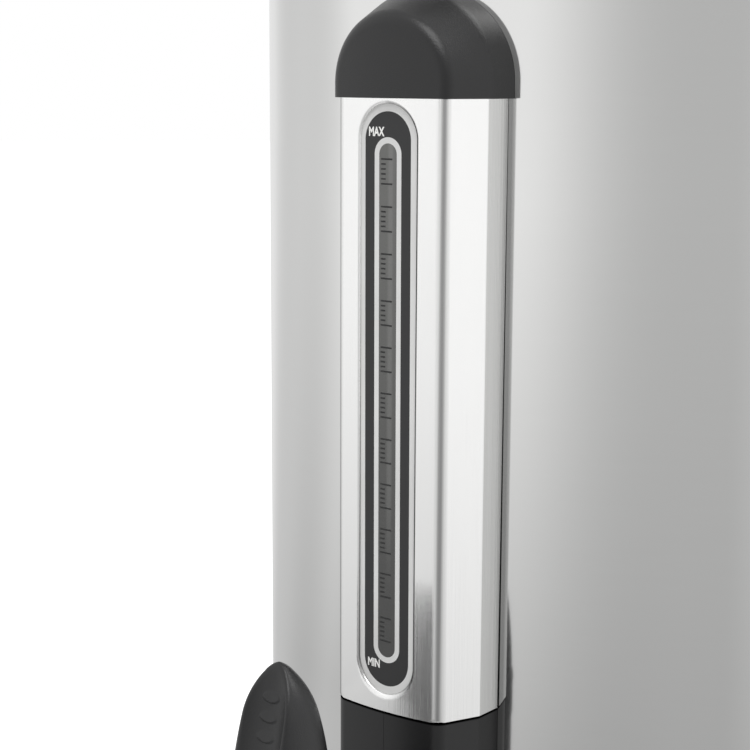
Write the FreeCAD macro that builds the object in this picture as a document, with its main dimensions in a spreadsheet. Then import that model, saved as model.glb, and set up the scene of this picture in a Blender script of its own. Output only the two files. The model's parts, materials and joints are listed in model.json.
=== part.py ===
import FreeCAD, Part
import math
import os
import re
import Sketcher

# A mulled wine urn: a single-walled steel tank on a black base, with a level gauge column and a
# self-closing tap on its front. The urn's axis is Z, the front faces -Y, and the feet stand on Z = 0.
# Every size is in millimetres, and angles are in degrees.

SIZES = {
    # tank
    "shell_radius": 152, "wall": 0.8, "shell_bottom": 68, "rim_height": 440, "bead": 2.4,
    "floor_height": 122, "floor_sheet": 1.0, "floor_flange": 12, "floor_corner": 4,
    # base
    "base_radius": 158, "base_wall": 3.5, "base_bottom": 8, "base_top": 76, "base_edge": 3,
    "ledge_width": 5, "flange_inner": 138, "panel_plane": 150, "panel_half": 48, "panel_low": 15,
    "panel_high": 61.5, "panel_margin": 3, "rear_half": 31, "plate_sheet": 1.2, "plate_radius": 150,
    "vent_inner": 62, "vent_outer": 84, "vent_half": 1.5, "vent_count": 12,
    "foot_radius": 14, "foot_ring": 118, "foot_stem": 4, "foot_taper": 1.5,
    "screw_radius": 2, "screw_head": 4, "base_screw_ring": 145,
    # heater
    "heat_radius": 75, "heat_sheet": 5, "coil_radius": 56, "coil_tube": 3.3, "coil_turn": 320,
    "coil_leg": 17, "clamp_length": 140, "clamp_width": 16, "clamp_sheet": 2.5, "stud_radius": 3,
    "stud_length": 20, "nut_flat_radius": 5.8, "nut_height": 4.5, "cutout_radius": 9,
    "cutout_height": 9, "cutout_offset": 30, "cutout_tab": 9,
    # controls
    "control_height": 38, "knob_radius": 15, "knob_height": 17, "knob_skirt": 17.5, "knob_skirt_height": 3,
    "knob_grip": 4, "spindle_radius": 3, "spindle_length": 30, "dial_radius": 22.5, "dial_sheet": 0.6,
    "switch_x": 38, "switch_half_width": 6.5, "switch_half_height": 9.7, "switch_flange": 2.2,
    "rocker_rise": 2.8, "rocker_gap": 0.4, "switch_depth": 16, "trunnion_radius": 1.5,
    "lamp_x": 38, "lamp_rise": 10, "lamp_radius": 4, "lamp_bezel": 5.2, "thermostat_half": 16,
    "thermostat_depth": 24, "bush_radius": 5, "bulb_radius": 3, "bulb_length": 60, "capillary_radius": 1,
    "wire_radius": 1.4, "wire_ring": 139, "wire_level": 20,
    "inlet_half_width": 13.6, "inlet_half_height": 9.8, "inlet_flange_half": 25,
    "inlet_flange_rise": 11.5, "inlet_flange_sheet": 2.5, "inlet_depth": 20, "inlet_wall": 1.6,
    "inlet_back": 2.5, "inlet_pin_pitch": 7, "inlet_pin_rise": 2, "inlet_screw": 20,
    # gauge column
    "joint_height": 376, "cover_height": 189, "column_front": 175.5, "front_curve": 106,
    "front_half": 20, "fold_half": 25.8, "fold_depth": 160, "column_back_depth": 150,
    "cover_sheet": 0.8, "corner_round": 5, "fold_round": 0.9, "cover_tuck": 2, "seam_gap": 0.7,
    "seam_top": 300, "slot_radius": 11.2, "slot_top": 1.6, "slot_bottom": 183, "lip": 0.9,
    "label_plane": 173.9, "label_half": 12.9, "label_sheet": 1.2, "window_half": 3.32,
    "window_top": 13.2, "window_bottom": 171.5,
    "cap_overhang": 1.1, "cap_side_overhang": 1.8, "cap_front_wall": 4, "cap_back_wall": 5,
    "cap_front_face": 177, "cap_edge_round": 5, "cap_fold_round": 9, "cap_wall": 2.2,
    "lower_height": 69, "lower_wall": 3, "lower_tongue": 4, "lower_round": 7, "parting": 0.1,
    "back_front": 155, "back_half": 24.4,
    "tube_depth": 163, "tube_radius": 4, "tube_bore": 2.6, "tube_low": 160, "tube_high": 368,
    "holder_half": 9, "holder_low": 356, "holder_high": 373,
    "seal_width": 2.2, "seal_height": 4, "column_screw_low": 215, "column_screw_high": 345,
    "back_low": 192, "back_high": 356,
    # tap
    "tap_depth": 223, "shank_height": 142, "shank_radius": 11, "shank_bore": 6, "shank_end": 138,
    "spout_low": 102, "spout_radius": 9, "spout_neck": 10.5, "spout_neck_height": 116,
    "valve_radius": 15.1, "valve_low": 124, "valve_top": 158, "valve_bore": 11.5, "seat_height": 122,
    "bonnet_recess": 13, "bonnet_recess_low": 149, "tap_flange": 16, "tap_flange_sheet": 3.5,
    "tap_nut_radius": 17, "tap_nut_height": 7, "washer_radius": 17, "washer_inner": 2.8,
    "block_half": 12, "block_front": 171, "block_back": 155, "block_low": 129,
    "block_high": 157, "port_radius": 7, "port_high": 174, "bonnet_radius": 15.6,
    "bonnet_shoulder": 169, "bonnet_top": 175.7, "bonnet_top_radius": 13.5, "bonnet_cavity": 9.5,
    "bonnet_roof": 171, "flute_radius": 1.2, "flute_count": 18, "stem_radius": 4.2,
    "collar_radius": 8.6, "collar_low": 134, "collar_high": 136.5, "stem_low": 124, "blade_half": 3,
    "blade_low": 170, "cup_radius": 9, "cup_high": 130,
    "spring_radius": 6.8, "spring_wire": 0.6,
    "pin_height": 184, "pin_radius": 2, "pin_length": 27, "cam_radius": 8, "cam_offset": 5,
    "lever_foot": 176, "lever_base": 14.8, "lever_neck": 10.3, "lever_neck_height": 206,
    "lever_top": 216.3, "lever_side": 200, "lever_nose": 13.7, "slot_half": 3.3, "slot_round": 5,
    "thumb_radius": 8.5, "thumb_tilt": 16, "thumb_low": 170, "thumb_axis": 245.5,
    "ridge_half": 3.15, "ridge_rise": 1.75, "ridge_depth": 1.4, "ridge_low": 195.3, "ridge_pitch": 5.6,
    "running_gap": 0.08,
    # lid and handles
    "lid_seat": 440.05, "lid_sheet": 0.8, "lid_radius": 157, "lid_turn_down": 3.6,
    "lid_skirt_radius": 150.3, "lid_skirt": 10, "lid_shoulder": 142, "lid_shoulder_rise": 7,
    "lid_dome": 27, "vent_hole": 2.5, "vent_place": 95,
    "knob_foot": 12, "knob_neck": 9, "knob_neck_height": 9, "knob_cap": 22, "knob_cap_low": 18,
    "knob_cap_high": 27, "knob_crown": 31, "knob_button": 4,
    "handle_low": 415.2, "handle_high": 434.6, "handle_half": 52, "handle_reach": 192,
    "handle_gap_half": 33, "handle_gap_reach": 175, "handle_round": 6, "handle_corner": 16,
    "handle_screw_angle": 16.5, "handle_screw_height": 423.5, "handle_screw_radius": 2.5,
    "handle_screw_head": 4.5, "handle_screw_length": 16, "handle_head_height": 2.6,
}

doc = FreeCAD.newDocument("MulledWineUrn")
sheet = doc.addObject("Spreadsheet::Sheet", "Sizes")
for row, (name, size) in enumerate(SIZES.items(), start=1):
    sheet.set(f"A{row}", name)
    sheet.set(f"B{row}", str(size))
    sheet.setAlias(f"B{row}", name)
doc.recompute()

PIECES = []
PLANES = {"plan": "XY_Plane", "front": "XZ_Plane", "side": "YZ_Plane"}
DIRECTIONS = {
    "up": FreeCAD.Rotation(),
    "down": FreeCAD.Rotation(FreeCAD.Vector(1, 0, 0), 180),
    "front": FreeCAD.Rotation(FreeCAD.Vector(1, 0, 0), 90),
    "rear": FreeCAD.Rotation(FreeCAD.Vector(1, 0, 0), -90),
    "right": FreeCAD.Rotation(FreeCAD.Vector(0, 1, 0), 90),
    "left": FreeCAD.Rotation(FreeCAD.Vector(0, 1, 0), -90),
}


def bound(text):
    """Words of the sheet become references to its cells: wall becomes Sizes.wall."""
    def cell(word):
        return "Sizes." + word[0] if word[0] in SIZES else word[0]

    return re.sub(r"[a-z][a-z_]*", cell, str(text))


def value(text):
    """The number that an expression of the sheet's words gives."""
    return float(sheet.evalExpression(bound(text)))


def bind(target, **properties):
    """Ties properties of an object to expressions: a double underscore stands for a dot."""
    for path, text in properties.items():
        target.setExpression(path.replace("__", "."), bound(text))
    return target


def piece(target, label):
    """Marks an object as one finished sub-part, whose label names its file."""
    target.Label = label
    PIECES.append(target)
    return target


# Sketches: outlines are lists of corners, each an (x, y) pair of expressions. A corner with two more
# entries is reached along an arc: (x, y, radius, turn), or with its centre (x, y, (cx, cy), turn).

def arc_centre(start, end, bend, turn):
    if isinstance(bend, tuple):
        return FreeCAD.Vector(value(bend[0]), value(bend[1]), 0)
    chord = end - start
    middle = (start + end) * 0.5
    side = FreeCAD.Vector(-chord.y, chord.x, 0).normalize() * (1 if turn == "left" else -1)
    return middle + side * math.sqrt(max(value(bend) ** 2 - (chord.Length / 2) ** 2, 0))


def add_stretch(drawing, start, corner, end):
    """Adds the line or arc that ends at a corner, and returns its number and its two end positions."""
    if len(corner) == 2:
        return drawing.addGeometry(Part.LineSegment(start, end)), 1, 2
    bend, turn = corner[2], corner[3]
    centre = arc_centre(start, end, bend, turn)
    circle = Part.Circle(centre, FreeCAD.Vector(0, 0, 1), (end - centre).Length)
    first, last = (start, end) if turn == "left" else (end, start)
    angles = [math.atan2(spot.y - centre.y, spot.x - centre.x) for spot in (first, last)]
    if angles[1] <= angles[0]:
        angles[1] += 2 * math.pi
    number = drawing.addGeometry(Part.ArcOfCircle(circle, *angles))
    return (number, 1, 2) if turn == "left" else (number, 2, 1)


def hold(drawing, kind, number, position, text):
    """One dimension of a sketch, bound to its expression. A position of 0 is the curve itself."""
    size = value(text)
    if kind == "Radius":
        index = drawing.addConstraint(Sketcher.Constraint("Radius", number, size))
    else:
        index = drawing.addConstraint(Sketcher.Constraint(kind, -1, 1, number, position, size))
    drawing.setExpression(f"Constraints[{index}]", bound(text))


def hold_arc(drawing, number, start, end, corner):
    bend = corner[2]
    if not isinstance(bend, tuple):
        hold(drawing, "Radius", number, 0, bend)
    elif abs(end.x - start.x) > abs(end.y - start.y):
        hold(drawing, "DistanceY", number, 3, bend[1])
    else:
        hold(drawing, "DistanceX", number, 3, bend[0])


def draw_outline(drawing, corners):
    spots = [FreeCAD.Vector(value(corner[0]), value(corner[1]), 0) for corner in corners]
    stretches = [add_stretch(drawing, spots[i - 1], corners[i], spots[i]) for i in range(len(corners))]
    for i, (number, _, finish) in enumerate(stretches):
        following, begin, _ = stretches[(i + 1) % len(stretches)]
        drawing.addConstraint(Sketcher.Constraint("Coincident", number, finish, following, begin))
        hold(drawing, "DistanceX", number, finish, corners[i][0])
        hold(drawing, "DistanceY", number, finish, corners[i][1])
        if len(corners[i]) > 2:
            hold_arc(drawing, number, spots[i - 1], spots[i], corners[i])


def draw_circle(drawing, across, up, radius):
    centre = FreeCAD.Vector(value(across), value(up), 0)
    number = drawing.addGeometry(Part.Circle(centre, FreeCAD.Vector(0, 0, 1), value(radius)))
    hold(drawing, "DistanceX", number, 3, across)
    hold(drawing, "DistanceY", number, 3, up)
    hold(drawing, "Radius", number, 0, radius)


def body(name):
    return doc.addObject("PartDesign::Body", name)


def sketch(owner, plane, *loops, away="0"):
    """A sketch on one of the body's own planes, moved away along its normal. A loop of three
    expressions is a circle. Sketches on the front plane face the front, -Y."""
    drawing = owner.newObject("Sketcher::SketchObject", owner.Name + "_sketch")
    role = PLANES[plane]
    support = next(item for item in owner.Origin.OriginFeatures if item.Role == role)
    drawing.AttachmentSupport = [(support, "")]
    drawing.MapMode = "FlatFace"
    drawing.setExpression("AttachmentOffset.Base.z", bound(away))
    for loop in loops:
        if isinstance(loop[0], str):
            draw_circle(drawing, *loop)
        else:
            draw_outline(drawing, loop)
    return drawing


def feature(owner, kind, drawing, **settings):
    made = owner.newObject("PartDesign::" + kind, owner.Name + "_" + kind.lower())
    made.Profile = drawing
    for name, setting in settings.items():
        if isinstance(setting, str) and name in ("Length", "Angle"):
            made.setExpression(name, bound(setting))
        else:
            setattr(made, name, setting)
    owner.Tip = made
    return made


def volume(owner):
    doc.recompute()
    return owner.Shape.Volume


def pad(owner, drawing, length, **settings):
    return feature(owner, "Pad", drawing, Length=length, **settings)


def cut_feature(owner, kind, drawing, **settings):
    """A cut that takes nothing away points the wrong way, so it stops the build."""
    before = volume(owner)
    made = feature(owner, kind, drawing, **settings)
    if not volume(owner) < before - 1e-3:
        raise ValueError(f"{owner.Name}: a {kind} took nothing away")
    return made


def pocket(owner, drawing, length=None, **settings):
    if length is None:
        return cut_feature(owner, "Pocket", drawing, Type="ThroughAll", **settings)
    return cut_feature(owner, "Pocket", drawing, Length=length, **settings)


def revolve(owner, drawing, angle="360"):
    return feature(owner, "Revolution", drawing, Angle=angle, ReferenceAxis=(drawing, ["V_Axis"]))


def groove(owner, drawing):
    return cut_feature(owner, "Groove", drawing, Angle="360", ReferenceAxis=(drawing, ["V_Axis"]))


def loft(owner, kind, drawings):
    """A ruled loft through sketches that have the same number of edges."""
    made = owner.newObject("PartDesign::" + kind, owner.Name + "_loft")
    made.Profile = drawings[0]
    made.Sections = drawings[1:]
    made.Ruled = True
    owner.Tip = made
    return made


def pattern(owner, original, count, angle="360"):
    """Repeats a feature about the sketch's vertical axis direction, which is the urn's Z."""
    made = owner.newObject("PartDesign::PolarPattern", owner.Name + "_pattern")
    made.Originals = [original]
    made.Axis = (next(item for item in owner.Origin.OriginFeatures if item.Role == "Z_Axis"), [""])
    made.setExpression("Angle", bound(angle))
    made.setExpression("Occurrences", bound(count))
    owner.Tip = made
    return made


def round_edges(owner, radius, choose):
    """Fillets the edges that choose(edge) picks from the body as it is now."""
    doc.recompute()
    last = owner.Tip
    names = [f"Edge{i}" for i, edge in enumerate(last.Shape.Edges, start=1) if choose(edge)]
    if not names:
        raise ValueError(f"{owner.Name}: no edges to round")
    made = owner.newObject("PartDesign::Fillet", owner.Name + "_fillet")
    made.Base = (last, names)
    made.setExpression("Radius", bound(radius))
    owner.Tip = made
    return made


def middle(edge):
    return edge.valueAt((edge.FirstParameter + edge.LastParameter) / 2)


def is_upright(edge):
    ends = [vertex.Point for vertex in edge.Vertexes]
    return len(ends) == 2 and abs(ends[0].x - ends[1].x) + abs(ends[0].y - ends[1].y) < 1e-3


# Part primitives: each is placed by its base point and the direction that it points in.

def put(target, base, direction="up", turn=0):
    spin = FreeCAD.Rotation(FreeCAD.Vector(0, 0, 1), turn)
    target.Placement = FreeCAD.Placement(FreeCAD.Vector(), spin.multiply(DIRECTIONS[direction]))
    for axis, text in zip("xyz", base):
        target.setExpression("Placement.Base." + axis, bound(text))
    return target


def cylinder(name, radius, height, base, direction="up", turn=0):
    made = bind(doc.addObject("Part::Cylinder", name), Radius=radius, Height=height)
    return put(made, base, direction, turn)


def box(name, length, width, height, base):
    made = bind(doc.addObject("Part::Box", name), Length=length, Width=width, Height=height)
    return put(made, base)


def hexagon(name, radius, height, base, direction="up"):
    made = doc.addObject("Part::Prism", name)
    made.Polygon = 6
    return put(bind(made, Circumradius=radius, Height=height), base, direction)


def fuse(name, shapes):
    made = doc.addObject("Part::MultiFuse", name)
    made.Shapes = shapes
    return made


def cut(name, base, tools):
    made = doc.addObject("Part::Cut", name)
    made.Base = base
    made.Tool = tools[0] if len(tools) == 1 else fuse(name + "_tools", tools)
    return made


def common(name, first, second):
    made = doc.addObject("Part::MultiCommon", name)
    made.Shapes = [first, second]
    return made


def group(name, shapes):
    made = doc.addObject("Part::Compound", name)
    made.Links = shapes
    return made


def around(radius, angle):
    """Expressions for a place on a circle about the urn's axis; 0 degrees is +X."""
    return f"({radius}) * cos({angle})", f"({radius}) * sin({angle})"


# Tank

def tank_shell():
    """The rolled and welded wall, with a half-round bead for its rim and holes for what it carries."""
    wall = body("shell_wall")
    revolve(wall, sketch(wall, "front", [
        ("shell_radius - wall", "shell_bottom"),
        ("shell_radius", "shell_bottom"),
        ("shell_radius", "rim_height - 2 * bead"),
        ("shell_radius", "rim_height", ("shell_radius", "rim_height - bead"), "left"),
        ("shell_radius - wall", "rim_height"),
    ]))
    holes = [
        cylinder("shell_tap_hole", "shank_radius + running_gap", "20",
                 ("0", "10 - shell_radius", "shank_height"), "front"),
        cylinder("shell_vent_hole", "shank_bore / 2", "20",
                 ("0", "10 - shell_radius", "holder_high - 6"), "front"),
    ]
    for name in ("low", "high"):
        holes.append(cylinder("shell_column_hole", "screw_radius + running_gap", "20",
                              ("0", "10 - shell_radius", "column_screw_" + name), "front"))
    for side, turn in handle_screw_turns():
        x, y = around("shell_radius - 10", side)
        holes.append(cylinder("shell_handle_hole", "handle_screw_radius + running_gap", "20",
                              (x, y, "handle_screw_height"), "right", turn))
    return piece(cut("shell_drilled", wall, holes), "tank_shell")


def handle_screw_turns():
    """The directions of the four handle screws, as an expression and as a number."""
    angle = value("handle_screw_angle")
    return [("handle_screw_angle", angle), ("-handle_screw_angle", -angle),
            ("180 + handle_screw_angle", 180 + angle), ("180 - handle_screw_angle", 180 - angle)]


def tank_floor():
    """A pressed disc whose edge turns down, with the stud that holds the heater."""
    floor = body("floor_pressing")
    outer, under = "shell_radius - wall", "floor_height - floor_sheet"
    revolve(floor, sketch(floor, "front", [
        ("0", under),
        (f"{outer} - floor_corner", under),
        (f"{outer} - floor_sheet", "floor_height - floor_corner",
         (f"{outer} - floor_corner", "floor_height - floor_corner"), "right"),
        (f"{outer} - floor_sheet", "floor_height - floor_flange"),
        (outer, "floor_height - floor_flange"),
        (outer, "floor_height - floor_corner"),
        (f"{outer} - floor_corner", "floor_height",
         (f"{outer} - floor_corner", "floor_height - floor_corner"), "left"),
        ("0", "floor_height"),
    ]))
    stud = cylinder("floor_stud", "stud_radius", "stud_length", ("0", "0", under), "down")
    return piece(fuse("floor_with_stud", [floor, stud]), "tank_floor")


# Base

def panel_block(owner, half, facing):
    """A solid block behind the ring's wall, recessed to a flat that carries the controls or the inlet."""
    low, high, skin = "panel_low - panel_margin", "panel_high + panel_margin", "base_wall"
    block = [(f"-({half})", low), (half, low), (half, high), (f"-({half})", high)]
    inset = f"{half} - panel_margin / 2"
    recess = [(f"-({inset})", "panel_low"), (inset, "panel_low"),
              (inset, "panel_high"), (f"-({inset})", "panel_high")]
    back = facing == "rear"
    place = f"panel_plane - {skin}"
    solid = sketch(owner, "front", block, away=f"-({place})" if back else place)
    pad(owner, solid, f"{skin} + base_wall + 2", Reversed=back)
    hollow = sketch(owner, "front", recess, away="-panel_plane" if back else "panel_plane")
    pocket(owner, hollow, "2 * base_wall + 10", Reversed=not back)


def base_ring():
    """The moulded ring under the tank: its top lip holds the wall, its bottom flange holds the plate."""
    ring = body("ring_moulding")
    inner = "base_radius - base_wall"
    revolve(ring, sketch(ring, "front", [
        ("flange_inner", "base_bottom"),
        ("base_radius - base_edge", "base_bottom"),
        ("base_radius", "base_bottom + 5"),
        ("base_radius", "base_top - 10"),
        ("base_radius - base_edge", "base_top"),
        ("shell_radius + running_gap", "base_top"),
        ("shell_radius + running_gap", "shell_bottom"),
        ("shell_radius - ledge_width", "shell_bottom"),
        ("shell_radius - ledge_width", "shell_bottom - base_wall"),
        (inner, "shell_bottom - base_wall"),
        (inner, "base_bottom + base_wall"),
        ("flange_inner", "base_bottom + base_wall"),
    ]))
    panel_block(ring, "panel_half", "front")
    panel_block(ring, "rear_half", "rear")
    groove(ring, sketch(ring, "front", [
        ("base_radius", "base_bottom + 5"), ("base_radius - base_edge", "base_bottom"),
        ("base_radius + 12", "base_bottom"), ("base_radius + 12", "base_top - 10"),
        ("base_radius", "base_top - 10"),
    ]))
    x, y = around("base_screw_ring", "45")
    hole = pocket(ring, sketch(ring, "plan", (x, y, "screw_radius"), away="base_bottom"),
                  "base_wall + 2", Reversed=True)
    pattern(ring, hole, "4")
    front, low = "panel_plane + 5", "control_height"
    through = "base_wall + 10"
    tools = [
        cylinder("hole_spindle", "bush_radius", through, ("0", f"-({front})", low), "rear"),
        box("hole_switch", "2 * switch_half_width", through, "2 * switch_half_height",
            ("switch_x - switch_half_width", f"-({front})", f"{low} - switch_half_height")),
        box("hole_inlet", "2 * inlet_half_width", through, "2 * inlet_half_height",
            ("-inlet_half_width", "panel_plane - base_wall - 2", f"{low} - inlet_half_height")),
    ]
    for sign in ("+", "-"):
        tools.append(cylinder("hole_lamp", "lamp_radius", through,
                              ("-lamp_x", f"-({front})", f"{low} {sign} lamp_rise"), "rear"))
        tools.append(cylinder("hole_inlet_screw", "screw_radius - 0.4 + running_gap", through,
                              (f"{sign}inlet_screw", "panel_plane - base_wall - 2", low), "rear"))
    return piece(cut("ring_with_holes", ring, tools), "base_ring")


def base_plate():
    """The steel plate that closes the base, with a ring of vent slots."""
    plate = body("plate_blank")
    top = "base_bottom"
    drawing = sketch(plate, "plan", ("0", "0", "plate_radius"), away=f"{top} - plate_sheet")
    pad(plate, drawing, "plate_sheet")
    slot = pocket(plate, sketch(plate, "plan", [
        ("vent_inner", "-vent_half", ("vent_inner", "0"), "left"),
        ("vent_outer", "-vent_half"),
        ("vent_outer", "vent_half", ("vent_outer", "0"), "left"),
        ("vent_inner", "vent_half"),
    ], away=top))
    pattern(plate, slot, "vent_count")
    holes = []
    for quarter in range(4):
        angle = 45 + 90 * quarter
        x, y = around("foot_ring", angle)
        holes.append(cylinder("plate_foot_hole", "foot_stem", "6", (x, y, f"{top} - 4")))
        x, y = around("base_screw_ring", angle)
        holes.append(cylinder("plate_screw_hole", "screw_radius + running_gap", "6", (x, y, f"{top} - 4")))
    return piece(cut("plate_with_holes", plate, holes), "base_plate")


def rubber_feet():
    """Four moulded feet whose stems snap through the plate."""
    feet = []
    underside = "(base_bottom - plate_sheet)"
    for quarter in range(4):
        x, y = around("foot_ring", 45 + 90 * quarter)
        pad_cone = bind(doc.addObject("Part::Cone", "foot_pad"), Radius1="foot_radius",
                        Radius2="foot_radius - foot_taper", Height=underside)
        put(pad_cone, (x, y, "0"))
        stem = cylinder("foot_stem", "foot_stem", "plate_sheet + 1", (x, y, underside))
        barb = bind(doc.addObject("Part::Cone", "foot_barb"), Radius1="foot_stem + 1",
                    Radius2="foot_stem - 1", Height="3")
        put(barb, (x, y, "base_bottom + 0.05"))
        dimple = cylinder("foot_dimple", "foot_stem - 1", "2", (x, y, "0"))
        feet.append(cut("foot", fuse("foot_solid", [pad_cone, stem, barb]), [dimple]))
    return piece(group("feet", feet), "rubber_feet")


def machine_screw(name, radius, head, length, head_height, base, direction, turn=0):
    """A screw whose head ends at its base point: the shank points the way of the direction."""
    shank = cylinder(name + "_shank", radius, length, base, direction, turn)
    back = {"up": "down", "down": "up", "front": "rear", "rear": "front", "right": "left", "left": "right"}
    cap = cylinder(name + "_head", head, head_height, base, back[direction], turn)
    return fuse(name, [shank, cap])


def base_screws():
    screws = []
    for quarter in range(4):
        x, y = around("base_screw_ring", 45 + 90 * quarter)
        screws.append(machine_screw("base_screw", "screw_radius", "screw_head", "8", "2",
                                    (x, y, "base_bottom - plate_sheet"), "up"))
    return piece(group("base_screw_set", screws), "base_screws")


# Heater

def heat_plate():
    """The aluminium plate that spreads the heat under the tank's floor."""
    under = "floor_height - floor_sheet"
    plate = cylinder("heat_disc", "heat_radius", "heat_sheet", ("0", "0", f"{under} - heat_sheet"))
    hole = cylinder("heat_hole", "stud_radius + running_gap", "20", ("0", "0", f"{under} - 12"))
    return piece(cut("heat_drilled", plate, [hole]), "heat_plate")


def heating_element():
    """A sheathed tube bent to a ring, with two cold legs that point down to their terminals."""
    level = "floor_height - floor_sheet - heat_sheet - coil_tube"
    ring = bind(doc.addObject("Part::Torus", "element_ring"), Radius1="coil_radius", Radius2="coil_tube",
                Angle3="coil_turn")
    put(ring, ("0", "0", level), turn=value("(360 - coil_turn) / 2"))
    parts = [ring]
    for sign in ("+", "-"):
        x, y = around("coil_radius", f"{sign}(360 - coil_turn) / 2")
        parts.append(cylinder("element_leg", "coil_tube", "coil_leg", (x, y, level), "down"))
        knuckle = bind(doc.addObject("Part::Sphere", "element_knuckle"), Radius="coil_tube")
        parts.append(put(knuckle, (x, y, level)))
        foot = (x, y, f"{level} - coil_leg")
        parts.append(cylinder("element_terminal", "coil_tube / 2", "8", foot, "down"))
    return piece(fuse("element", parts), "heating_element")


def clamp_top():
    return "(floor_height - floor_sheet - heat_sheet - 2 * coil_tube)"


def element_clamp():
    """The steel bar that presses the ring against its plate, and the nut that tightens it."""
    bar = box("clamp_bar", "clamp_width", "clamp_length", "clamp_sheet",
              ("-clamp_width / 2", "-clamp_length / 2", f"{clamp_top()} - clamp_sheet"))
    hole = cylinder("clamp_hole", "stud_radius + running_gap", "12", ("0", "0", f"{clamp_top()} - 8"))
    piece(cut("clamp", bar, [hole]), "element_clamp")
    under = f"{clamp_top()} - clamp_sheet - nut_height"
    nut = hexagon("nut_blank", "nut_flat_radius", "nut_height", ("0", "0", under))
    bore = cylinder("nut_bore", "stud_radius", "20", ("0", "0", f"{under} - 5"))
    return piece(cut("nut", nut, [bore]), "clamp_nut")


def thermal_cutout():
    """The disc thermostat that stops the heater when the tank runs dry, with its two spade tabs."""
    top = "floor_height - floor_sheet - heat_sheet"
    place = ("cutout_offset", "0")
    can = cylinder("cutout_can", "cutout_radius", "cutout_height", (*place, top), "down")
    tabs = []
    for sign in ("+", "-"):
        tabs.append(box("cutout_tab", "0.8", "6.3", "cutout_tab",
                        (f"cutout_offset {sign} 4 - 0.4", "-3.15", f"{top} - cutout_height - cutout_tab")))
    return piece(fuse("cutout", [can] + tabs), "thermal_cutout")


# Controls

def thermostat():
    """The capillary thermostat behind the front panel, clamped by its threaded bush."""
    half = "thermostat_half"
    inner = "panel_plane - base_wall"
    case = box("thermostat_case", f"2 * {half}", "thermostat_depth", f"2 * {half}",
               (f"-{half}", f"-({inner})", f"control_height - {half}"))
    bush = cylinder("thermostat_bush", "bush_radius - running_gap", "base_wall + dial_sheet + 0.2",
                    ("0", f"-({inner})", "control_height"), "front")
    bore = cylinder("thermostat_bore", "spindle_radius + running_gap", "spindle_length",
                    ("0", f"-({inner} - 14)", "control_height"), "front")
    return piece(cut("thermostat_body", fuse("thermostat_solid", [case, bush]), [bore]), "thermostat")


def thermostat_bulb():
    """The sensing bulb under the heat plate, and the copper capillary that runs from it."""
    rise = "floor_height - floor_sheet - heat_sheet - bulb_radius"
    bulb = cylinder("bulb", "bulb_radius", "bulb_length",
                    ("-cutout_offset", "bulb_length / 2", rise), "front")
    x, y, z = value("-cutout_offset"), value("-bulb_length / 2"), value(rise)
    top = value("control_height + thermostat_half")
    capillary = bent_tube("capillary", "capillary_radius", [
        (x, y + 2, z), (x, y - 4, z), (x, y - 14, z - 14), (x, -104, z - 14),
        (0, -134, top + 13), (0, -134, top + 0.05),
    ])
    return piece(fuse("bulb_and_tube", [bulb, capillary]), "thermostat_bulb")


def bent_tube(name, radius, route):
    """A round tube along straight runs that are joined by tangent arcs."""
    points = [FreeCAD.Vector(*spot) for spot in route]
    edges, start = [], points[0]
    for before, corner, after in zip(points, points[1:], points[2:]):
        incoming, outgoing = corner - before, after - corner
        turn = incoming.getAngle(outgoing)
        if turn < 0.01:
            continue
        reach = 0.45 * min(incoming.Length, outgoing.Length)
        first, last = corner - incoming.normalize() * reach, corner + outgoing.normalize() * reach
        rise = reach * math.cos(turn / 2) * math.tan(turn / 4)
        crest = (first + last) * 0.5 + (corner - (first + last) * 0.5).normalize() * rise
        edges.append(Part.LineSegment(start, first).toShape())
        edges.append(Part.Arc(first, crest, last).toShape())
        start = last
    edges.append(Part.LineSegment(start, points[-1]).toShape())
    ring = Part.Wire(Part.Circle(points[0], points[1] - points[0], value(radius)).toShape())
    tube_shape = doc.addObject("Part::Feature", name)
    tube_shape.Shape = Part.Wire(edges).makePipeShell([ring], True, False)
    return tube_shape


def ring_route(angles, level):
    """Places along the inside of the base's wall, where the leads are clipped."""
    return [(value("wire_ring") * math.cos(math.radians(angle)),
             value("wire_ring") * math.sin(math.radians(angle)), level) for angle in angles]


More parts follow.
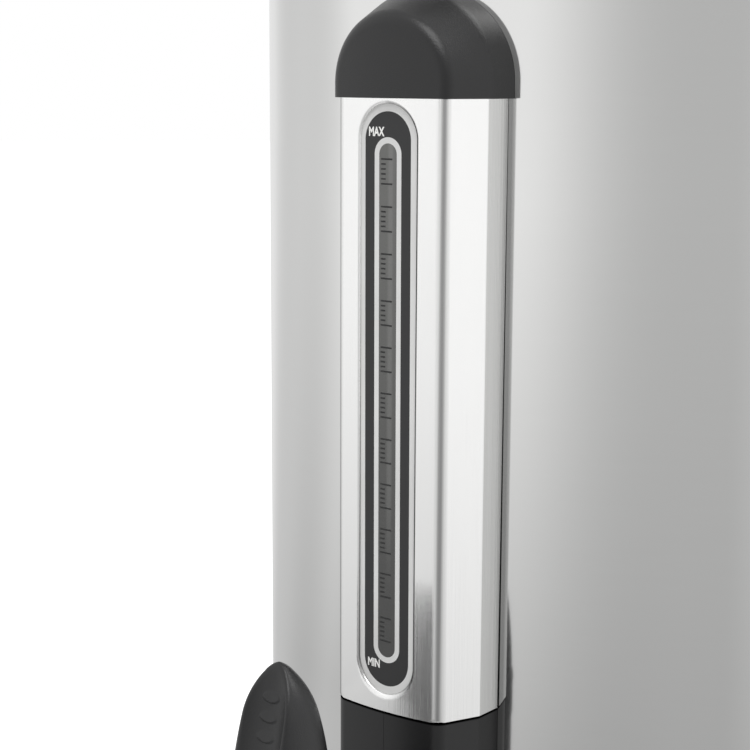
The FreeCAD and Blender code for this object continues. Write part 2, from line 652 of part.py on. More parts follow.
def wiring():
    """The leads: live to the switch, the thermostat, the cut-out and the element, neutral, and earth."""
    high, low = value("control_height"), value("wire_level")
    tab = value("panel_plane - inlet_depth - 8.1")
    live, neutral, earth = value("-inlet_pin_pitch"), value("inlet_pin_pitch"), value("inlet_pin_rise")
    switch, side = value("switch_x"), value("switch_depth - panel_plane + 0.1")
    control = value("thermostat_depth - panel_plane + base_wall + 0.1")
    ceiling = value("floor_height - floor_sheet - heat_sheet")
    cutout, cutout_end = value("cutout_offset"), ceiling - value("cutout_height + cutout_tab") - 0.1
    ring, gap = value("coil_radius"), math.radians(value("(360 - coil_turn) / 2"))
    leg = (ring * math.cos(gap), ring * math.sin(gap), ceiling - value("coil_tube + coil_leg") - 8.1)
    cold, feed = (leg[0], -leg[1], leg[2]), high - earth
    routes = [
        [(live, tab, feed), (live, tab - 10, feed), (12, tab - 8, low)] + ring_route((45, 0, -45), low)
        + [(switch + 4, side + 12, high), (switch + 4, side, high)],
        [(switch - 4, side, high), (switch - 4, side + 16, high),
         (8, control + 12, high), (8, control, high)],
        [(-8, control, high), (-8, control + 14, high), (cutout - 4, 0, ceiling - 32),
         (cutout - 4, 0, cutout_end)],
        [(cutout + 4, 0, cutout_end), (cutout + 4, 0, leg[2] - 8), (leg[0], leg[1], leg[2] - 8), leg],
        [(neutral, tab, feed), (neutral, tab - 10, feed), (20, 104, 70),
         (cold[0], cold[1], cold[2] - 20), cold],
        [(0, tab, high + earth), (0, tab - 10, high + earth), (-30, 104, 74),
         (-62, 24, ceiling - 20), (-62, 24, ceiling - 0.1)],
    ]
    leads = [bent_tube("lead", "wire_radius", route) for route in routes]
    return piece(group("leads", leads), "wiring")


def thermostat_knob():
    """The turned knob with its skirt, and a raised grip bar across its face."""
    knob = body("knob_moulding")
    back = "panel_plane + dial_sheet + 0.4"
    pad(knob, sketch(knob, "front", ("0", "control_height", "knob_skirt"), away=back), "knob_skirt_height")
    disc = sketch(knob, "front", ("0", "control_height", "knob_radius"), away=f"{back} + knob_skirt_height")
    pad(knob, disc, "knob_height - knob_skirt_height - 9")
    face = f"{back} + knob_height - 9"
    grip = sketch(knob, "front", [
        ("-knob_grip", "control_height - knob_radius + 2"),
        ("knob_grip", "control_height - knob_radius + 2"),
        ("knob_grip", "control_height + knob_radius - 3"),
        ("0", "control_height + knob_radius - 0.5"),
        ("-knob_grip", "control_height + knob_radius - 3"),
    ], away=face)
    pad(knob, grip, "9")
    round_edges(knob, "1.2", lambda edge: middle(edge).y < -value(face) - 8.9)
    bore = sketch(knob, "front", ("0", "control_height", "spindle_radius"), away=back)
    pocket(knob, bore, "8", Reversed=True)
    return piece(knob, "thermostat_knob")


def thermostat_spindle():
    """The turned spindle that the knob is pressed onto."""
    end = "panel_plane + dial_sheet + 0.4 + 8"
    base = ("0", f"-({end} - spindle_length + 6)", "control_height")
    return piece(cylinder("spindle", "spindle_radius", "spindle_length - 6", base, "front"),
                 "thermostat_spindle")


def dial_plate():
    """The thin printed ring round the knob."""
    disc = cylinder("dial_disc", "dial_radius", "dial_sheet",
                    ("0", "-panel_plane", "control_height"), "front")
    hole = cylinder("dial_hole", "bush_radius", "4", ("0", "2 - panel_plane", "control_height"), "front")
    return piece(cut("dial", disc, [hole]), "dial_plate")


def switch_frame():
    """The snap-in switch body: a flange outside the panel, and an open pocket for the rocker."""
    half_x, half_z, flange = "switch_half_width", "switch_half_height", "switch_flange"
    frame = body("switch_moulding")

    def rectangle(grow):
        return [(f"switch_x - ({half_x} + {grow})", f"control_height - ({half_z} + {grow})"),
                (f"switch_x + ({half_x} + {grow})", f"control_height - ({half_z} + {grow})"),
                (f"switch_x + ({half_x} + {grow})", f"control_height + ({half_z} + {grow})"),
                (f"switch_x - ({half_x} + {grow})", f"control_height + ({half_z} + {grow})")]

    pad(frame, sketch(frame, "front", rectangle("-0.1"), away="panel_plane - switch_depth"), "switch_depth")
    pad(frame, sketch(frame, "front", rectangle(flange + " / 2"), away="panel_plane"), "1.5")
    pocket(frame, sketch(frame, "front", rectangle("-1.2"), away="panel_plane + 1.5"), "10.5")
    bearing = cylinder("switch_bearing", "trunnion_radius + 0.05", "2 * switch_half_width",
                       ("switch_x - switch_half_width", "4 - panel_plane", "control_height"), "right")
    return piece(cut("switch_with_bearing", frame, [bearing]), "switch_frame")


def rocker_switch():
    """The rocker: two flats that meet in a shallow valley, on a trunnion that turns in the frame."""
    rocker = body("rocker_moulding")
    reach = "(switch_half_height - 1.2 - rocker_gap)"
    pivot, proud = "(panel_plane - 4)", "(panel_plane + 1.5 + rocker_rise)"
    outline = [
        (f"-{pivot} + 3.2", f"control_height - {reach} * 0.6"),
        (f"-{pivot} + 3.2", f"control_height + {reach} * 0.6"),
        (f"-{pivot}", f"control_height + {reach}"), (f"-{proud} + 2", f"control_height + {reach} * 0.8"),
        (f"-{proud} + 2.8", "control_height"), (f"-{proud}", f"control_height - {reach} * 0.8"),
        (f"-{pivot}", f"control_height - {reach}"),
    ]
    inset = "1.2 + rocker_gap"
    pad(rocker, sketch(rocker, "side", outline, away=f"switch_x - switch_half_width + {inset}"),
        f"2 * (switch_half_width - ({inset}))")
    trunnion = cylinder("rocker_trunnion", "trunnion_radius", "2 * (switch_half_width - 0.4)",
                        ("switch_x - switch_half_width + 0.4", "4 - panel_plane", "control_height"), "right")
    return piece(fuse("rocker_on_trunnion", [rocker, trunnion]), "rocker_switch")


def lamps():
    """Two panel lamps: a bezelled lens outside, and a body that passes through the panel."""
    for label, sign in (("power_lamp", "+"), ("ready_lamp", "-")):
        at = ("-lamp_x", f"control_height {sign} lamp_rise")
        stalk = cylinder(label + "_body", "lamp_radius - 0.1", "18",
                         (at[0], "18 - panel_plane", at[1]), "front")
        bezel = cylinder(label + "_bezel", "lamp_bezel", "1.2", (at[0], "-panel_plane", at[1]), "front")
        lens = bind(doc.addObject("Part::Sphere", label + "_lens"), Radius="lamp_radius")
        put(lens, (at[0], "-(panel_plane + 0.2)", at[1]))
        piece(fuse(label + "_solid", [stalk, bezel, lens]), label)


def appliance_inlet():
    """The flanged three-pin inlet in the rear flat: a deep open cavity for the connector."""
    inlet = body("inlet_moulding")

    def shape(half, rise):
        """A rectangle whose two upper corners are cut off, as the connector's are."""
        bevel = 5
        return [(f"-({half})", f"control_height - ({rise})"), (half, f"control_height - ({rise})"),
                (half, f"control_height + ({rise}) - {bevel}"),
                (f"({half}) - {bevel}", f"control_height + ({rise})"),
                (f"-({half}) + {bevel}", f"control_height + ({rise})"),
                (f"-({half})", f"control_height + ({rise}) - {bevel}")]

    half, rise = "inlet_half_width - 0.1", "inlet_half_height - 0.1"
    pad(inlet, sketch(inlet, "front", shape(half, rise), away="-(panel_plane - inlet_depth)"), "inlet_depth",
        Reversed=True)
    flange = [("-inlet_flange_half", "control_height"),
              ("-(inlet_half_width + 2)", "control_height - inlet_flange_rise"),
              ("inlet_half_width + 2", "control_height - inlet_flange_rise"),
              ("inlet_flange_half", "control_height"),
              ("inlet_half_width + 2", "control_height + inlet_flange_rise"),
              ("-(inlet_half_width + 2)", "control_height + inlet_flange_rise")]
    pad(inlet, sketch(inlet, "front", flange, away="-panel_plane"), "inlet_flange_sheet", Reversed=True)
    mouth = shape(half + " - inlet_wall", rise + " - inlet_wall")
    pocket(inlet, sketch(inlet, "front", mouth, away="-(panel_plane + inlet_flange_sheet)"),
           "inlet_depth + inlet_flange_sheet - inlet_back", Reversed=True)
    for sign in ("+", "-"):
        hole = sketch(inlet, "front",
                      (f"{sign}inlet_screw", "control_height", "screw_radius - 0.4 + running_gap"),
                      away="-(panel_plane + inlet_flange_sheet)")
        pocket(inlet, hole, "inlet_flange_sheet + 1", Reversed=True)
    return piece(cut("inlet_with_blade_holes", inlet, blade_set("inlet_blade_hole")), "appliance_inlet")


def blade_set(name):
    """Line, neutral and earth blades, which pass through the cavity's back to spade tabs."""
    places = (("-inlet_pin_pitch", "-inlet_pin_rise"), ("inlet_pin_pitch", "-inlet_pin_rise"),
              ("0", "inlet_pin_rise"))
    return [box(name, "2", "inlet_depth + 4", "4",
                (f"{x} - 1", "panel_plane - inlet_depth - 8", f"control_height + {z} - 2"))
            for x, z in places]


def inlet_pins():
    return piece(group("blades", blade_set("inlet_blade")), "inlet_pins")


def inlet_screws():
    screws = []
    for sign in ("+", "-"):
        seat = (f"{sign}inlet_screw", "panel_plane + inlet_flange_sheet", "control_height")
        screws.append(machine_screw("inlet_screw", "screw_radius - 0.4", "screw_head - 1", "8", "1.6",
                                    seat, "front"))
    return piece(group("inlet_screw_set", screws), "inlet_screws")


# Gauge column: one plan outline, grown or shrunk, serves the cover, its cap and the lower housing.

def column_plan(grow, back):
    """The plan: a curved front, a slanting facet on each side, and a facet straight back from it."""
    curve = f"front_curve + {grow}"
    centre = "-(column_front - front_curve)"
    half = f"front_half + ({grow}) * 0.82"
    right = [
        (half, f"{centre} - sqrt(({curve})^2 - ({half})^2)"),
        (f"fold_half + ({grow})", f"-fold_depth - ({grow}) * 0.35"),
        (f"fold_half + ({grow})", f"-({back})"),
    ]
    left = [(f"-({x})", y) for x, y in reversed(right)]
    return [right[0] + (("0", centre), "left")] + right[1:] + left


def column_trim(owner, curve, low):
    """Cuts away what stands ahead of the curved front."""
    centre, reach = "-(column_front - front_curve)", "front_half + 12"
    meet = f"{centre} - sqrt(({curve})^2 - ({reach})^2)"
    ahead = "-(column_front + 14)"
    region = [(f"-({reach})", ahead), (reach, ahead), (reach, meet),
              (f"-({reach})", meet, ("0", centre), "right")]
    pocket(owner, sketch(owner, "plan", region, away=low), Reversed=True)


def at_column_corner(edge, half, depth):
    spot = middle(edge)
    return is_upright(edge) and abs(abs(spot.x) - half) < 0.3 and abs(-spot.y - depth) < 0.5


def front_depth(half, curve):
    """How far ahead of the urn's axis a curved front stands at this half width."""
    return value(f"column_front - front_curve + sqrt(({curve})^2 - ({half})^2)")


def stadium(radius, top, bottom, shift="0"):
    """An upright slot that is measured down from the joint between the cap and the cover."""
    high = f"joint_height - ({top}) - ({radius})"
    low = f"joint_height - ({bottom}) + ({radius})"
    return [
        (radius, low, ("0", low), "left"),
        (radius, high),
        (f"-({radius})", high, ("0", high), "left"),
        (f"-({radius})", low),
    ]


def gauge_cover():
    """The folded steel cover: a thin curved and faceted channel, with a slot whose lip turns in."""
    cover = body("cover_sheet_metal")
    low = "joint_height - cover_height"
    height = "cover_height + cover_tuck"
    pad(cover, sketch(cover, "plan", column_plan("0", "column_back_depth"), away=low), height)
    half, side = value("front_half"), value("fold_half")
    round_edges(cover, "corner_round", lambda edge: at_column_corner(
        edge, half, front_depth("front_half", "front_curve")))
    round_edges(cover, "fold_round", lambda edge: at_column_corner(edge, side, value("fold_depth")))
    inner = column_plan("-cover_sheet", "column_back_depth - 5")
    pocket(cover, sketch(cover, "plan", inner, away=low), Reversed=True)
    within = value("front_half - cover_sheet * 0.82")
    round_edges(cover, "corner_round - cover_sheet", lambda edge: at_column_corner(
        edge, within, front_depth("front_half - cover_sheet * 0.82", "front_curve - cover_sheet")))
    ring = sketch(cover, "front", stadium("slot_radius + lip", "slot_top - lip", "slot_bottom + lip"),
                  away="label_plane")
    pad(cover, ring, "column_front - label_plane + 2")
    column_trim(cover, "front_curve", f"{low} - 1")
    slot = sketch(cover, "front", stadium("slot_radius", "slot_top", "slot_bottom"), away="label_plane - 5")
    pocket(cover, slot, "20", Reversed=True)
    trim_seam(cover)
    return piece(cover, "gauge_cover")


def trim_seam(owner):
    """The free edges lean away from the tank towards the bottom, which opens a thin seam there."""
    depth, low = "column_back_depth", "joint_height - cover_height"
    wedge = sketch(owner, "side", [
        (f"-({depth})", f"{low} - 1"), (f"-({depth})", "seam_top"), (f"-({depth} + seam_gap)", f"{low} - 1"),
    ], away="-(fold_half + 2)")
    pocket(owner, wedge, "2 * (fold_half + 2)", Reversed=True)


def arch(half, wall):
    """A vault in front view: a short upright wall on each side, and a half circle on top."""
    foot, spring = "joint_height", f"joint_height + {wall}"
    return [
        (half, foot), (half, spring),
        (f"-({half})", spring, ("0", spring), "left"),
        (f"-({half})", foot),
    ]


def vault(owner, kind, shrink):
    """A loft through three arches, which widen and rise from the front to the tank."""
    front = f"front_half + cap_overhang - 0.9 - ({shrink})"
    fold = f"fold_half + cap_side_overhang - 0.4 - ({shrink})"
    back = f"fold_half + cap_side_overhang + 0.3 - ({shrink})"
    places = [
        (front, "cap_front_wall", f"cap_front_face - ({shrink}) * 1.9"),
        (fold, "cap_front_wall + 0.6", "fold_depth + 0.5"),
        (back, "cap_back_wall", "shell_radius - 8"),
    ]
    arches = [sketch(owner, "front", arch(half, wall), away=depth) for half, wall, depth in places]
    return loft(owner, kind, arches)


def gauge_cap():
    """The domed cap over the top of the cover: a hollow vault with soft edges."""
    cap = body("cap_moulding")
    vault(cap, "AdditiveLoft", "0")
    column_trim(cap, "front_curve + cap_overhang", "joint_height - 1")
    tank = sketch(cap, "plan", ("0", "0", "shell_radius + running_gap"), away="joint_height - 1")
    pocket(cap, tank, Reversed=True)
    rounded = value("cap_front_face") - 4
    low = value("joint_height") + 0.5
    crease = value("fold_depth") + 0.5
    round_edges(cap, "cap_fold_round",
                lambda edge: abs(middle(edge).y + crease) < 0.3 and middle(edge).z > low)
    round_edges(cap, "cap_edge_round", lambda edge: middle(edge).y < -rounded and middle(edge).z > low)
    vault(cap, "SubtractiveLoft", "cap_wall")
    tuck = sketch(cap, "plan", column_plan("0.15", "shell_radius - 12"), away="joint_height")
    pocket(cap, tuck, "cover_tuck + 0.2", Reversed=True)
    return piece(cap, "gauge_cap")


def lower_housing():
    """The two moulded halves below the cover, which close round the tap's shank."""
    for label, side in (("lower_housing_right", 1), ("lower_housing_left", -1)):
        half = body(label + "_moulding")
        top, bottom = "joint_height - cover_height", "joint_height - cover_height - lower_height"
        back = "shell_radius - 6"
        pad(half, sketch(half, "plan", column_plan("-0.3", back), away=bottom), "lower_height")
        floor, ceiling = value(bottom), value(top)
        round_edges(half, "corner_round", lambda edge: at_column_corner(
            edge, value("front_half"), front_depth("front_half", "front_curve")))
        round_edges(half, "lower_round",
                    lambda edge: abs(middle(edge).z - floor) < 0.1 and middle(edge).y < -152)
        tongue, tongue_half = "-cover_sheet - 0.15", "front_half - (cover_sheet + 0.15) * 0.82"
        pad(half, sketch(half, "plan", column_plan(tongue, back), away=top), "lower_tongue")
        depth = front_depth(tongue_half, f"front_curve {tongue}")
        round_edges(half, "corner_round - cover_sheet", lambda edge: middle(edge).z > ceiling
                    and at_column_corner(edge, value(tongue_half), depth))
        pocket(half, sketch(half, "plan", column_plan("-lower_wall", "shell_radius - 10"),
                            away=f"{bottom} + lower_wall"), Reversed=True)
        tank = sketch(half, "plan", ("0", "0", "shell_radius + running_gap"), away=f"{bottom} - 1")
        pocket(half, tank, Reversed=True)
        hole = sketch(half, "front", ("0", "shank_height", "shank_radius + 0.3"), away="column_front - 10")
        pocket(half, hole, "20", Reversed=True)
        other = [("-parting / 2", "-200"), ("60", "-200"), ("60", "-100"), ("-parting / 2", "-100")]
        if side > 0:
            other = [(f"-({x})", y) for x, y in other]
        pocket(half, sketch(half, "plan", other, away=f"{bottom} - 1"), Reversed=True)
        piece(half, label)


def column_back():
    """The bar behind the cover, curved to the tank, that the cover clips over."""
    bar = body("back_moulding")
    pad(bar, sketch(bar, "plan", [
        ("-back_half", "-140"), ("back_half", "-140"),
        ("back_half", "-back_front"), ("-back_half", "-back_front"),
    ], away="back_low"), "back_high - back_low")
    tank = sketch(bar, "plan", ("0", "0", "shell_radius + running_gap"), away="back_low - 1")
    pocket(bar, tank, Reversed=True)
    holes = [cylinder("back_hole", "screw_radius", "20", ("0", "-145", "column_screw_" + name), "front")
             for name in ("low", "high")]
    return piece(cut("back_drilled", bar, holes), "column_back")


def column_screws():
    """Screws from inside the tank into the bar, with flat heads."""
    screws = [machine_screw("column_screw", "screw_radius", "screw_head", "4.2", "2",
                            ("0", "-(shell_radius - wall - 0.06)", "column_screw_" + name), "front")
              for name in ("low", "high")]
    return piece(group("column_screw_set", screws), "column_screws")


def gauge_label():
    """The flat panel behind the slot, with an opening for its window."""
    label = body("label_panel")
    back = "label_plane - label_sheet"
    panel = stadium("label_half", "slot_top - label_half + slot_radius",
                    "slot_bottom + label_half - slot_radius")
    pad(label, sketch(label, "front", panel, away=back), "label_sheet")
    pocket(label, sketch(label, "front", stadium("window_half", "window_top", "window_bottom"),
                         away="label_plane"))
    return piece(label, "gauge_label")


def gauge_window():
    """The smoked strip that fills the label's opening."""
    window = body("window_strip")
    back = "label_plane - label_sheet"
    pad(window, sketch(window, "front", stadium("window_half", "window_top", "window_bottom"), away=back),
        "label_sheet")
    return piece(window, "gauge_window")


def tube(name, outer, inner, low, high, x="0", y="-tube_depth"):
    """An upright tube between two heights."""
    return cut(name, cylinder(name + "_outside", outer, f"({high}) - ({low})", (x, y, low)),
               [cylinder(name + "_bore", inner, f"({high}) - ({low}) + 2", (x, y, f"({low}) - 1"))])


def sight_tube():
    """The clear tube behind the window, in which the level stands."""
    return piece(tube("level_tube", "tube_radius", "tube_bore", "tube_low", "tube_high"), "sight_tube")


def tube_seals():
    """Two silicone sleeves that seal the ends of the tube."""
    outer = "tube_radius + seal_width"
    seals = [tube("lower_seal", outer, "tube_radius", "port_high - 6", "port_high - 6 + seal_height + 2"),
             tube("upper_seal", outer, "tube_radius", "holder_low - 1", "holder_low - 1 + seal_height + 2")]
    return piece(group("seal_pair", seals), "tube_seals")


def tube_holder():
    """The block that holds the top of the tube and vents it into the tank."""
    block = box("holder_block", "2 * holder_half", "block_front - 1 - shell_radius",
                "holder_high - holder_low", ("-holder_half", "1 - block_front", "holder_low"))
    tools = [
        cylinder("holder_socket", "tube_radius + running_gap", "tube_high - holder_low + 1",
                 ("0", "-tube_depth", "holder_low - 1")),
        cylinder("holder_seal_seat", "tube_radius + seal_width", "seal_height + 2",
                 ("0", "-tube_depth", "holder_low - 1")),
        cylinder("holder_vent", "shank_bore / 2", "20", ("0", "-(tube_depth)", "holder_high - 6"), "rear"),
        cylinder("holder_tank", "shell_radius", "40", ("0", "0", "holder_low - 5")),
    ]
    return piece(cut("holder", block, tools), "tube_holder")


def gauge_fitting():
    """The block on the tap's shank, whose upright port feeds the tube."""
    block = box("fitting_block", "2 * block_half", "block_front - block_back", "block_high - block_low",
                ("-block_half", "-block_front", "block_low"))
    port = cylinder("fitting_port", "port_radius", "port_high - block_high",
                    ("0", "-tube_depth", "block_high"))
    tools = [
        cylinder("fitting_shank_hole", "shank_radius", "40", ("0", "-140", "shank_height"), "front"),
        cylinder("fitting_feed", "tube_bore", "30", ("0", "-tube_depth", "shank_height")),
        cylinder("fitting_socket", "tube_radius + running_gap", "40", ("0", "-tube_depth", "tube_low")),
        cylinder("fitting_seal_seat", "tube_radius + seal_width", "20",
                 ("0", "-tube_depth", "port_high - 6")),
    ]
    return piece(cut("fitting", fuse("fitting_solid", [block, port]), tools), "gauge_fitting")


# Tap: the valve stands upright on a horizontal shank. Lifting the stem opens the seat.

def tap_body():
    """The moulded body: an upright valve chamber over its spout, and the shank that carries it."""
    tap = body("tap_casting")
    revolve(tap, sketch(tap, "front", [
        ("shank_bore", "spout_low"), ("spout_radius", "spout_low"), ("spout_neck", "spout_neck_height"),
        ("valve_radius", "valve_low"), ("valve_radius", "valve_top"), ("bonnet_recess", "valve_top"),
        ("bonnet_recess", "bonnet_recess_low"), ("valve_bore", "bonnet_recess_low"),
        ("valve_bore", "seat_height"), ("shank_bore", "seat_height"),
    ], away="tap_depth"))
    shank = sketch(tap, "front", ("0", "shank_height", "shank_radius"), away="shank_end")
    pad(tap, shank, "tap_depth - shank_end - valve_bore - 1.5")
    collar = sketch(tap, "front", ("0", "shank_height", "tap_flange"), away="column_front")
    pad(tap, collar, "tap_flange_sheet")
    bore = sketch(tap, "front", ("0", "shank_height", "shank_bore"), away="shank_end - 1")
    pocket(tap, bore, "tap_depth - shank_end - valve_bore + 5", Reversed=True)
    feed = cylinder("shank_feed", "tube_bore", "shank_radius + 1", ("0", "-tube_depth", "shank_height"))
    return piece(cut("tap_casting_fed", tap, [feed]), "tap_body")


def tap_nut():
    """The hexagon nut inside the tank."""
    seat = "shell_radius - wall - washer_inner"
    nut = hexagon("tap_nut_blank", "tap_nut_radius", "tap_nut_height",
                  ("0", f"-({seat})", "shank_height"), "rear")
    bore = cylinder("tap_nut_bore", "shank_radius", "30", ("0", "-130", "shank_height"), "front")
    return piece(cut("tap_nut_solid", nut, [bore]), "tap_nut")


def tap_washers():
    """Two silicone washers, one on each side of the tank's wall and pressed to its curve."""
    inside = cylinder("washer_inside", "washer_radius", "washer_inner + 2",
                      ("0", "-(shell_radius - wall - washer_inner)", "shank_height"), "front")
    tank = cylinder("washer_tank", "shell_radius - wall", "200", ("0", "0", "shank_height - 100"))
    outside = cylinder("washer_outside", "washer_radius - 3", "10",
                       ("0", "-(block_back - 10)", "shank_height"), "front")
    wall = cylinder("washer_wall", "shell_radius", "200", ("0", "0", "shank_height - 100"))
    bores = [cylinder("washer_bore", "shank_radius", "40", ("0", "-130", "shank_height"), "front")
             for _ in range(2)]
    rings = [cut("inner_washer", common("washer_pressed", inside, tank), [bores[0]]),
             cut("outer_washer", outside, [wall, bores[1]])]
    return piece(group("washer_pair", rings), "tap_washers")


def tap_bonnet():
    """The fluted bonnet that screws into the valve and guides the stem."""
    bonnet = body("bonnet_moulding")
    guide = "stem_radius + running_gap"
    revolve(bonnet, sketch(bonnet, "front", [
        ("bonnet_cavity", "bonnet_recess_low"), ("bonnet_recess", "bonnet_recess_low"),
        ("bonnet_recess", "valve_top"), ("bonnet_radius", "valve_top"), ("bonnet_radius", "bonnet_shoulder"),
        ("bonnet_top_radius", "bonnet_top", "6", "left"), (guide, "bonnet_top"), (guide, "bonnet_roof"),
        ("bonnet_cavity", "bonnet_roof"),
    ], away="tap_depth"))
    flutes = []
    for number in range(int(value("flute_count"))):
        x, y = around("bonnet_radius + 0.7", f"{number} * 360 / flute_count")
        flutes.append(cylinder("bonnet_flute", "flute_radius", "bonnet_shoulder - valve_top + 1",
                               (x, f"{y} - tap_depth", "valve_top - 1")))
    return piece(cut("bonnet_fluted", bonnet, flutes), "tap_bonnet")


def tap_stem():
    """The stem: a rod with a collar for the spring, and a blade on top for the lever's pin."""
    stem = body("stem_turning")
    axis, radius = "-tap_depth", "stem_radius"
    revolve(stem, sketch(stem, "front", [
        ("0", "stem_low"), (radius, "stem_low"), (radius, "collar_low"), ("collar_radius", "collar_low"),
        ("collar_radius", "collar_high"), (radius, "collar_high"),
        (radius, "pin_height"), ("0", "pin_height"),
    ], away="tap_depth"))
    end = [
        (f"{axis} - {radius}", "pin_height - 1"), (f"{axis} + {radius}", "pin_height - 1"),
        (f"{axis} + {radius}", "pin_height"),
        (f"{axis} - {radius}", "pin_height", (axis, "pin_height"), "left"),
    ]
    pad(stem, sketch(stem, "side", end, away="-blade_half"), "2 * blade_half")
    flats = []
    for near, far in (("blade_half", "blade_half + 4"), ("-blade_half - 4", "-blade_half")):
        front, rear = f"{axis} - 7", f"{axis} + 7"
        flats.append([(near, front), (far, front), (far, rear), (near, rear)])
    pocket(stem, sketch(stem, "plan", *flats, away="blade_low"), Reversed=True)
    hole = sketch(stem, "side", (axis, "pin_height", "pin_radius + running_gap"), away="-blade_half - 1")
    pocket(stem, hole, "2 * blade_half + 2", Reversed=True)
    return piece(stem, "tap_stem")


def seat_cup():
    """The silicone cup on the stem's end, which closes the seat."""
    cup = body("cup_moulding")
    revolve(cup, sketch(cup, "front", [
        ("0", "seat_height + 0.02"), ("cup_radius - 1", "seat_height + 0.02"),
        ("cup_radius", "seat_height + 2"), ("stem_radius + 2", "cup_high"), ("stem_radius", "cup_high"),
        ("stem_radius", "stem_low"), ("0", "stem_low"),
    ], away="tap_depth"))
    return piece(cup, "seat_cup")


def tap_spring():
    """The closing spring round the stem, hidden in the bonnet: a sleeve of the coil's own size."""
    return piece(tube("spring_sleeve", "spring_radius + spring_wire", "spring_radius - spring_wire",
                      "collar_high + 0.05", "bonnet_roof - 0.05", y="-tap_depth"), "tap_spring")


def tap_lever():
    """The handle: a bullet turned about the tap's axis, hollowed in front for the thumb. Its foot is a
    cam, and a slot in the foot takes the stem's blade."""
    lever = body("lever_moulding")
    pin, axis = "pin_height", "-tap_depth"
    cam = f"{axis} - cam_offset"
    revolve(lever, sketch(lever, "front", [
        ("0", "lever_foot"), ("lever_base", "lever_foot"),
        ("lever_neck", "lever_neck_height", "lever_side", "left"),
        ("0", "lever_top", "lever_nose", "left"),
    ], away="tap_depth"))
    ahead = sketch(lever, "side", [
        (f"{cam} - cam_radius", pin, (cam, pin), "right"), (f"{cam} - cam_radius", f"{pin} + 8"),
        (f"{cam} - 30", f"{pin} + 8"), (f"{cam} - 30", "lever_foot - 2"), (cam, "lever_foot - 2"),
        (cam, "lever_foot"),
    ], away="-lever_base - 1")
    pocket(lever, ahead, "2 * lever_base + 2", Reversed=True)
    slot = sketch(lever, "side", [
        (f"{axis} + slot_round", f"{pin} - 12"), (f"{axis} + slot_round", pin),
        (f"{axis} - slot_round * sin(45)", f"{pin} + slot_round * cos(45)", (axis, pin), "left"),
        (f"{axis} - slot_round * sin(45) - 16", f"{pin} + slot_round * cos(45) - 16"),
        (f"{axis} - slot_round * sin(45) - 16", f"{pin} - 12"),
    ], away="-slot_half")
    pocket(lever, slot, "2 * slot_half", Reversed=True)
    hole = sketch(lever, "side", (axis, pin, "pin_radius"), away="-lever_base - 1")
    pocket(lever, hole, "2 * lever_base + 2", Reversed=True)
    lean = FreeCAD.Rotation(FreeCAD.Vector(1, 0, 0), -value("thumb_tilt"))
    hollow = cylinder("thumb_hollow", "thumb_radius", "60", ("0", "-thumb_axis", "thumb_low"))
    hollow.Placement = FreeCAD.Placement(hollow.Placement.Base, lean)
    ridges = []
    for number in range(3):
        height = f"ridge_low + {number} * ridge_pitch"
        rear = f"-thumb_axis + ({height} - thumb_low) * tan(thumb_tilt) + thumb_radius / cos(thumb_tilt)"
        ridge = bind(doc.addObject("Part::Ellipsoid", "thumb_ridge"), Radius1="ridge_rise",
                     Radius2="ridge_half", Radius3="ridge_depth")
        put(ridge, ("0", f"{rear} + ridge_depth / 2", height))
        ridge.Placement = FreeCAD.Placement(ridge.Placement.Base, lean)
        ridges.append(ridge)
    return piece(fuse("lever_with_ridges", [cut("lever_hollowed", lever, [hollow])] + ridges), "tap_lever")


def lever_pin():
    """The steel pin that is pressed across the lever's cheeks and turns in the blade."""
    return piece(cylinder("pin", "pin_radius", "pin_length",
                          ("-pin_length / 2", "-tap_depth", "pin_height"), "right"), "lever_pin")


# Lid and handles

def lid():
    """The pressed lid: a dome, a shoulder, a flange on the bead, and a skirt inside the rim."""
    cover = body("lid_pressing")
    seat, sheet_up = "lid_seat", "lid_seat + lid_sheet"
    shoulder = "lid_shoulder_rise"
    rise = "(lid_dome - lid_shoulder_rise)"
    bulge = f"((lid_shoulder)^2 + {rise}^2) / (2 * {rise})"
    revolve(cover, sketch(cover, "front", [
        ("0", f"{seat} + lid_dome"),
        ("lid_shoulder", f"{seat} + {shoulder}", ("0", f"{seat} + lid_dome - {bulge}"), "right"),
        ("lid_skirt_radius - lid_sheet", seat),
        ("lid_skirt_radius - lid_sheet", f"{seat} - lid_skirt"),
        ("lid_skirt_radius", f"{seat} - lid_skirt"),
        ("lid_skirt_radius", seat),
        ("lid_radius - lid_sheet", seat),
        ("lid_radius - lid_sheet", f"{seat} - lid_turn_down"),
        ("lid_radius", f"{seat} - lid_turn_down"),
        ("lid_radius", sheet_up),
        ("lid_skirt_radius", sheet_up),
        ("lid_shoulder", f"{sheet_up} + {shoulder}"),
        ("0", f"{sheet_up} + lid_dome", ("0", f"{sheet_up} + lid_dome - {bulge}"), "left"),
    ]))
    holes = [cylinder("lid_screw_hole", "handle_screw_radius + running_gap", "20",
                      ("0", "0", f"{seat} + lid_dome - 10")),
             cylinder("lid_vent", "vent_hole", "40", ("0", "vent_place", seat))]
    return piece(cut("lid_drilled", cover, holes), "lid")


